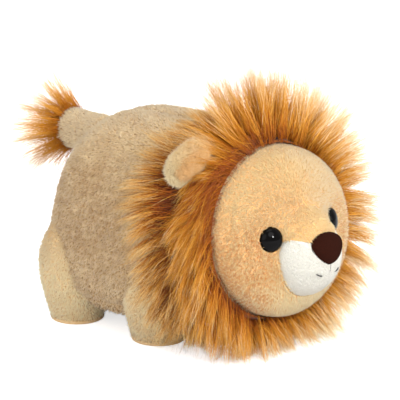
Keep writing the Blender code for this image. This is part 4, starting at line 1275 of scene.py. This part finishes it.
def make_mouth():
    """The stitched mouth: a pale thread down from the nose to a knot, and a dark arc either
    side, which dips first and then rises, and shows from the pile near its outer end."""
    drop = np.linspace(0, 1, 12)
    upright = stack(0, 0, MUZZLE_HEIGHT + THREAD_TOP - THREAD_DROP * drop)
    share = np.linspace(0, 1, 24)
    curve = share**2 - np.sin(share * math.pi * 0.85)
    height = MUZZLE_HEIGHT - MOUTH_DROP + MOUTH_CURVE * curve
    right, left = (stack(side * MOUTH_REACH * share, 0, height) for side in (-1, 1))
    sunk = ARC_SINK * np.minimum(((share - 0.78) / 0.28) ** 2, 1.3)
    for name, line, sink, thick, finish in (
        ("mouth_upright", upright, THREAD_SINK, THREAD_WIDE, "grey_thread"),
        ("mouth_arc_right", right, sunk, ARC_WIDE, "black_thread"),
        ("mouth_arc_left", left, sunk + FAR_ARC_SINK, ARC_WIDE, "black_thread"),
    ):
        ahead = egg_forward(line[:, 0], line[:, 2]) + MOUTH_PROUD - sink
        dress(tube(name, stack(line[:, 0], SEAM_Y - ahead, line[:, 2]), thick), finish)


def make_legs():
    """Four legs with their pile, tanner towards the body, and the soles under them."""
    for leg in LEGS:
        for side_word, side in SIDES:
            leg_surface, sole_surface = make_leg_surfaces(leg, side)
            cover, node = f"{leg.name}_leg_cover_{side_word}", f"{leg.name}_leg_{side_word}"
            # The legs take lighter copies of the tan cloth and pile, painted light against the shade under
            # the body
            skin(cover, leg_surface, (40, 48), "leg_cloth", node)
            planted = plant(leg_surface, LEG_HAIRS, lambda points: points[:, 2] > SOLE_THICK)
            tint = 0.7 * ramp(planted[0][:, 2], *LEG_TAN_SPAN)
            flow = DOWNWARD + BACKWARD * 0.3
            name = cover.replace("cover", "pile")
            dress(pile(name, planted, LEG_COAT, flow, leg.seed + side, tint, leg.bright), "leg_pile")
            cover, node = cover.replace("leg", "sole"), node.replace("leg", "sole")
            skin(cover, sole_surface, (33, 48), "tan_cloth", node, fill=0.9)


def make_tail():
    """The tail's cover, and its pile, which is short on the round root in its seam."""
    body = "tail_body"
    # The tail's cover uses the legs' lighter copy of the tan cloth, painted light
    skin("tail_cover", tail_surface, (60, 48), "leg_cloth", "tail", body)
    pivot, _, _, outward = tail_axes()

    def keep(points):
        along = (points - pivot) @ outward
        return (along > TAIL_PILE_FROM) & (along < TAIL_LENGTH - TAIL_END_ROUND)

    hairs, seed = PLANTING["tail"]
    planted = plant(tail_surface, hairs, keep)
    grown = ramp((planted[0] - pivot) @ outward, *TAIL_PILE_SPAN)
    coat = LEG_COAT._replace(long=TAIL_PILE_ROOT + (LEG_COAT.long - TAIL_PILE_ROOT) * grown)
    dress(pile("tail_pile", planted, coat, outward, seed, bright=0.55), "tan_pile", body=body)


def make_ears():
    """The ears' fluffy covers, and the short pile of their linings."""
    for side_word, side in SIDES:
        body = f"ear_body_{side_word}"
        ear_surface, lining_surface = make_ear_surfaces(side)
        root, along, upward, front = ear_axes(side)
        skin(f"ear_cover_{side_word}", ear_surface, (30, 48), "cream_cloth", f"ear_{side_word}", body)

        def keep(points):
            local = points - root
            across = (local @ along) / (EAR_WIDTH / 2 - LINING_INSET)
            height = (local @ upward - EAR_TALL / 2) / (EAR_TALL / 2 - LINING_INSET)
            on_lining = (local @ front > EAR_THICK * 0.3) & (np.hypot(across, height) < 0.9)
            return (local @ upward > EAR_PILE_FROM) & ~on_lining

        hairs, seed = PLANTING["ear"]
        planted = plant(ear_surface, hairs, keep)
        inner = (planted[0] - root) @ along * -side
        tint = np.clip(0.30 + inner / EAR_WIDTH, 0, 0.85)
        flow = upward + 0.6 * front
        fur = pile(f"ear_pile_{side_word}", planted, EAR_COAT, flow, seed + side, tint)
        dress(fur, "cream_pile", body=body)
        name, node = f"ear_lining_cover_{side_word}", f"ear_lining_{side_word}"
        skin(name, lining_surface, (16, 40), "peach_cloth", node, body, CLOTH, fill=0.5)
        hairs, seed = PLANTING["lining"]
        planted = plant(lining_surface, hairs)
        name = name.replace("cover", "pile")
        fur = pile(name, planted, LINING_COAT, upward, seed + side, 0.45)
        dress(fur, "peach_pile", body=body)


def scatter_locks(ring):
    """Lock roots spread over a ring's band of the loaf, in rows that are half a step out of
    line, each moved at random: their back, angle and a random number."""
    draw = np.random.default_rng(ring.seed + 1)
    wide = ring.band[1] - ring.band[0]
    across = max(int(round(math.sqrt(ring.locks * wide / 0.44))), 2)
    around = ring.locks // across
    row, column = np.meshgrid(np.arange(across), np.arange(around), indexing="ij")
    jitter = draw.uniform(-0.45, 0.45, (2, row.size))
    back = ring.band[0] + wide * (row.ravel() + 0.5 + jitter[0]) / across
    angle = WHOLE * (column.ravel() + (row.ravel() % 2) / 2 + jitter[1]) / around
    return back, angle, draw.random(row.size)


def part_at_ear(ring, turn, left):
    """How far the fur is brushed downhill beside the ear that the photo shows, by bells over the
    turn, and the share that its length keeps there."""
    parts = ring.parts & ~left
    below, above = (bell(turn, place, spread) * parts for place, spread, _ in (BELOW_EAR, ABOVE_EAR))
    aside = np.where(turn > PARTING_TURN, BELOW_EAR[2] * below, ABOVE_EAR[2] * above)
    return aside, 1 - below * np.where(turn > BELOW_EAR[0], 0.35, 0.10)


def make_mane_ring(ring):
    """A ring of long fur in locks, which lie as its tables say."""
    draw = np.random.default_rng(ring.seed)
    back, angle, chance = scatter_locks(ring)
    root, outward, rearward, around = loaf_frame(back, angle)
    turn = np.degrees(np.abs(np.angle(np.exp(1j * (angle - QUARTER)))))
    left = np.cos(angle) > 0
    lies = (
        [np.interp(turn, table[:, 0], column) for column in table.T[1:]]
        for table in (ring.left, ring.right)
    )
    out, rear, fall, long = (np.where(left, *pair) for pair in zip(*lies))
    early = (back - ring.band[0]) / (ring.band[1] - ring.band[0])
    rear = rear + ring.lean * (early - 0.3) * (1 - 0.8 * ramp(turn, 50, 80))
    noise = draw.normal(size=(3, len(back), 1))
    aside, kept = part_at_ear(ring, turn, left)
    start = (
        outward * out[:, None]
        + rearward * rear[:, None]
        + around * (np.where(left, -1, 1) * aside)[:, None]
        + rearward * MANE_REARWARD * noise[0]
        + around * MANE_AROUND * noise[1]
        + outward * MANE_OUTWARD * noise[2]
    )
    turning = DOWNWARD * fall[:, None] * MANE_FALL + around * MANE_TURN * noise[2]
    long = long * (0.82 + 0.26 * chance) * kept
    paths, lock = comb_locks(draw, root, outward, unit(start), turning, long, ring.each, FUR_SPREAD)
    count = len(lock)
    paths[..., 1] -= np.minimum(behind_seam(paths[:, :1]) + FUR_BEFORE_SEAM, 0)
    clearance = FUR_CLEAR + FUR_LOOSE * draw.random(count)[:, None]
    paths = keep_in_box(clear_ear(keep_off_loaf(paths, clearance)))
    tone = shade_fur(ring, angle[lock], turn[lock]) + STRAND_TONE * draw.normal(size=count)
    tone = tone + LOCK_TONE * (chance[lock] - 0.5)
    width = FUR_WIDTH * draw.uniform(0.7, 1.3, count)
    order = np.argsort(np.mod(angle[lock], WHOLE), kind="stable")
    for number, chosen in enumerate(np.array_split(order, ring.pieces)):
        name = f"{ring.name}_{number + 1}"
        fur = strands(name, paths[chosen], width[chosen], tone[chosen], FUR_TAPER, ring.dark)
        dress(fur, "mane_fur", ring.node)


def shade_fur(ring, angle, turn):
    """A ring's tone by its place, as painted light and shade: the crown is painted lighter on the
    left side and under the chin, and painted darker on the right cheek."""
    leftward = np.cos(angle)
    # Painted light on the far, left side and painted shade on the right cheek
    cheek = 0.95 * ramp(leftward, 0.05, 0.6) - 0.45 * ramp(-leftward, 0.35, 0.85)
    lit = cheek + 0.45 * ramp(turn, 125, 165)
    return 0.38 + lit * (1 - ring.dark) + 0.40 * ring.dark


def make_mane():
    """The mane's cloth backing and its two rings of fur."""

    def backing(u, v):
        """A band of the loaf's own surface, a little proud of it."""
        return loaf(BACKING_FROM + BACKING_WIDE * u, WHOLE * v, 1.0, BACKING_PROUD)

    # The backing's dark colour is partly painted shade between the locks
    skin("mane_backing", backing, (12, 121), "fur_backing", "mane_front", thick=THIN_CLOTH, fill=0.3)
    make_mane_ring(CROWN)
    make_mane_ring(COLLAR)


def make_tuft():
    """The tail's tuft: wispy locks that leave the tail's end on a sunflower's spiral and fan out
    round its drooping axis. The outer ones are rooted round the end's edge."""
    pivot, sideways, upward, outward = tail_axes()
    aim = outward * math.cos(TUFT_DROOP) - upward * math.sin(TUFT_DROOP)
    rise = np.cross(sideways, aim)
    rise = rise * np.sign(rise[2])
    draw = np.random.default_rng(TUFT_SEED)
    locks = TUFT_LOCKS
    share_out = np.sqrt((np.arange(locks) + 0.5) / locks)
    golden_turn = math.pi * (3 - math.sqrt(5))
    angle = np.arange(locks) * golden_turn + 0.15 * draw.normal(size=locks)
    around = turned(angle, sideways, rise)
    over = ramp(share_out, 0.75, 0.95)
    reach = (TAIL_RADIUS - TUFT_INSET * (1 - over)) * share_out
    sunk = TUFT_SUNK + TUFT_OVER * over * draw.uniform(0.5, 1.0, locks)
    roots = pivot + outward * TAIL_LENGTH + around * reach[:, None] - outward * sunk[:, None]
    fan = (TUFT_FAN * share_out**1.2)[:, None]
    start = unit(aim + around * fan + 0.14 * draw.normal(size=(locks, 3)))
    turning = around * 0.30 * share_out[:, None] + DOWNWARD * 0.12
    turning = turning + 0.15 * draw.normal(size=(locks, 3))
    long = TUFT_REACH * draw.uniform(0.62, 1.10, locks) * (1 - 0.10 * share_out)
    aims = np.broadcast_to(aim, roots.shape)
    paths, lock = comb_locks(draw, roots, aims, start, turning, long, TUFT_EACH, TUFT_SPREAD)
    count = len(lock)
    tone = 1.22 + 0.24 * draw.normal(size=count) + 0.5 * (draw.random(locks)[lock] - 0.5)
    width = FUR_WIDTH * draw.uniform(0.5, 0.9, count)
    fur = strands("tuft_fur", keep_in_box(paths), width, tone, FUR_TAPER)
    dress(fur, "mane_fur", "tail_tuft", body="tuft_body")


def seen_rays(recipe):
    """One for the rays that show a surface itself, straight, mirrored or through clear parts."""
    path = recipe.add("ShaderNodeLightPath", output="Is Camera Ray")
    outputs = path.socket.node.outputs
    return path + Wire(recipe, outputs["Is Glossy Ray"]) + Wire(recipe, outputs["Is Transmission Ray"])


def make_stage():
    """A white floor, plain white light all round, and broad soft lamps."""
    scene = bpy.context.scene
    scene.view_settings.view_transform = "Standard"
    corners = FLOOR_HALF * np.array([(-1, -1, 0), (1, -1, 0), (1, 1, 0), (-1, 1, 0)], float)
    floor = fill_mesh("floor", corners, [np.array([[0, 1, 2, 3]])])
    shade = (FLOOR_WHITE, FLOOR_WHITE, FLOOR_WHITE, 1)
    white = Recipe(bpy.data.materials.new("floor_white"), Roughness=1.0, Base_Color=shade)
    lit = Wire(white, white.shader.outputs[0])
    seen = seen_rays(white)
    glow = white.add("ShaderNodeEmission", None, {"Strength": FLOOR_GLOW})
    both = white.add("ShaderNodeAddShader", None, {0: lit, 1: glow})
    choice = white.add("ShaderNodeMixShader", None, {0: seen, 1: lit, 2: both})
    white.tree.links.new(choice.socket, white.tree.nodes["Material Output"].inputs["Surface"])
    floor.data.materials.append(white.owner)
    scene.world = bpy.data.worlds.new("white_room")
    room = Recipe(scene.world, Color=(1, 1, 1, 1))
    room.join(room.spread(seen_rays(room), 0.0, 1.0, ROOM_LIGHT), "Strength")
    for name, values in LAMPS.items():
        add_lamp(name, *values)


def look_from(azimuth, rise):
    """The direction to a place at an azimuth and a rise in degrees: 0 is before the face."""
    azimuth, rise = math.radians(azimuth), math.radians(rise)
    level = math.cos(rise)
    return Vector((math.sin(azimuth) * level, -math.cos(azimuth) * level, math.sin(rise)))


def add_lamp(name, azimuth, rise, distance, size, power_watts):
    """A soft disc lamp aimed at the lion's face."""
    away = look_from(azimuth, rise)
    data = bpy.data.lights.new(name, "AREA")
    data.shape = "DISK"
    data.size = size
    data.energy = power_watts
    lamp = bpy.data.objects.new(name, data)
    bpy.context.scene.collection.objects.link(lamp)
    lamp.location = Vector((0, SEAM_Y, FACE_HEIGHT)) + away * distance
    lamp.rotation_euler = away.to_track_quat("Z", "Y").to_euler()


def make_camera():
    """The photograph's view: from the lion's right, a little above, with the face seam's middle
    at a known pixel of the 400 by 400 frame."""
    azimuth, rise, distance = -49, 15.5, 1.9
    metres_per_pixel, frame_pixels = 0.00073, 400
    seam_pixel = (276, 229.5)
    away = look_from(azimuth, rise)
    right = Vector((math.cos(math.radians(azimuth)), math.sin(math.radians(azimuth)), 0))
    upward = away.cross(right)
    middle = frame_pixels / 2
    target = Vector((0, SEAM_Y, FACE_HEIGHT))
    target -= right * (seam_pixel[0] - middle) * metres_per_pixel
    target += upward * (seam_pixel[1] - middle) * metres_per_pixel
    data = bpy.data.cameras.new("camera")
    data.sensor_width = 36
    data.lens = data.sensor_width * distance / (frame_pixels * metres_per_pixel)
    camera = bpy.data.objects.new("camera", data)
    bpy.context.scene.collection.objects.link(camera)
    camera.location = target + away * distance
    camera.rotation_euler = (-away).to_track_quat("-Z", "Y").to_euler()
    bpy.context.scene.camera = camera


make_camera()
make_stage()
make_filling()
make_body()
make_face()
make_snout()
make_eyes()
make_nose()
make_mouth()
make_legs()
make_tail()
make_ears()
make_mane()
make_tuft()
for washer in ("eye_washer_left", "eye_washer_right"):
    frame["nodes"][washer].data.materials.clear()
    frame["nodes"][washer].data.materials.append(FINISHES["washer_plastic"][1])
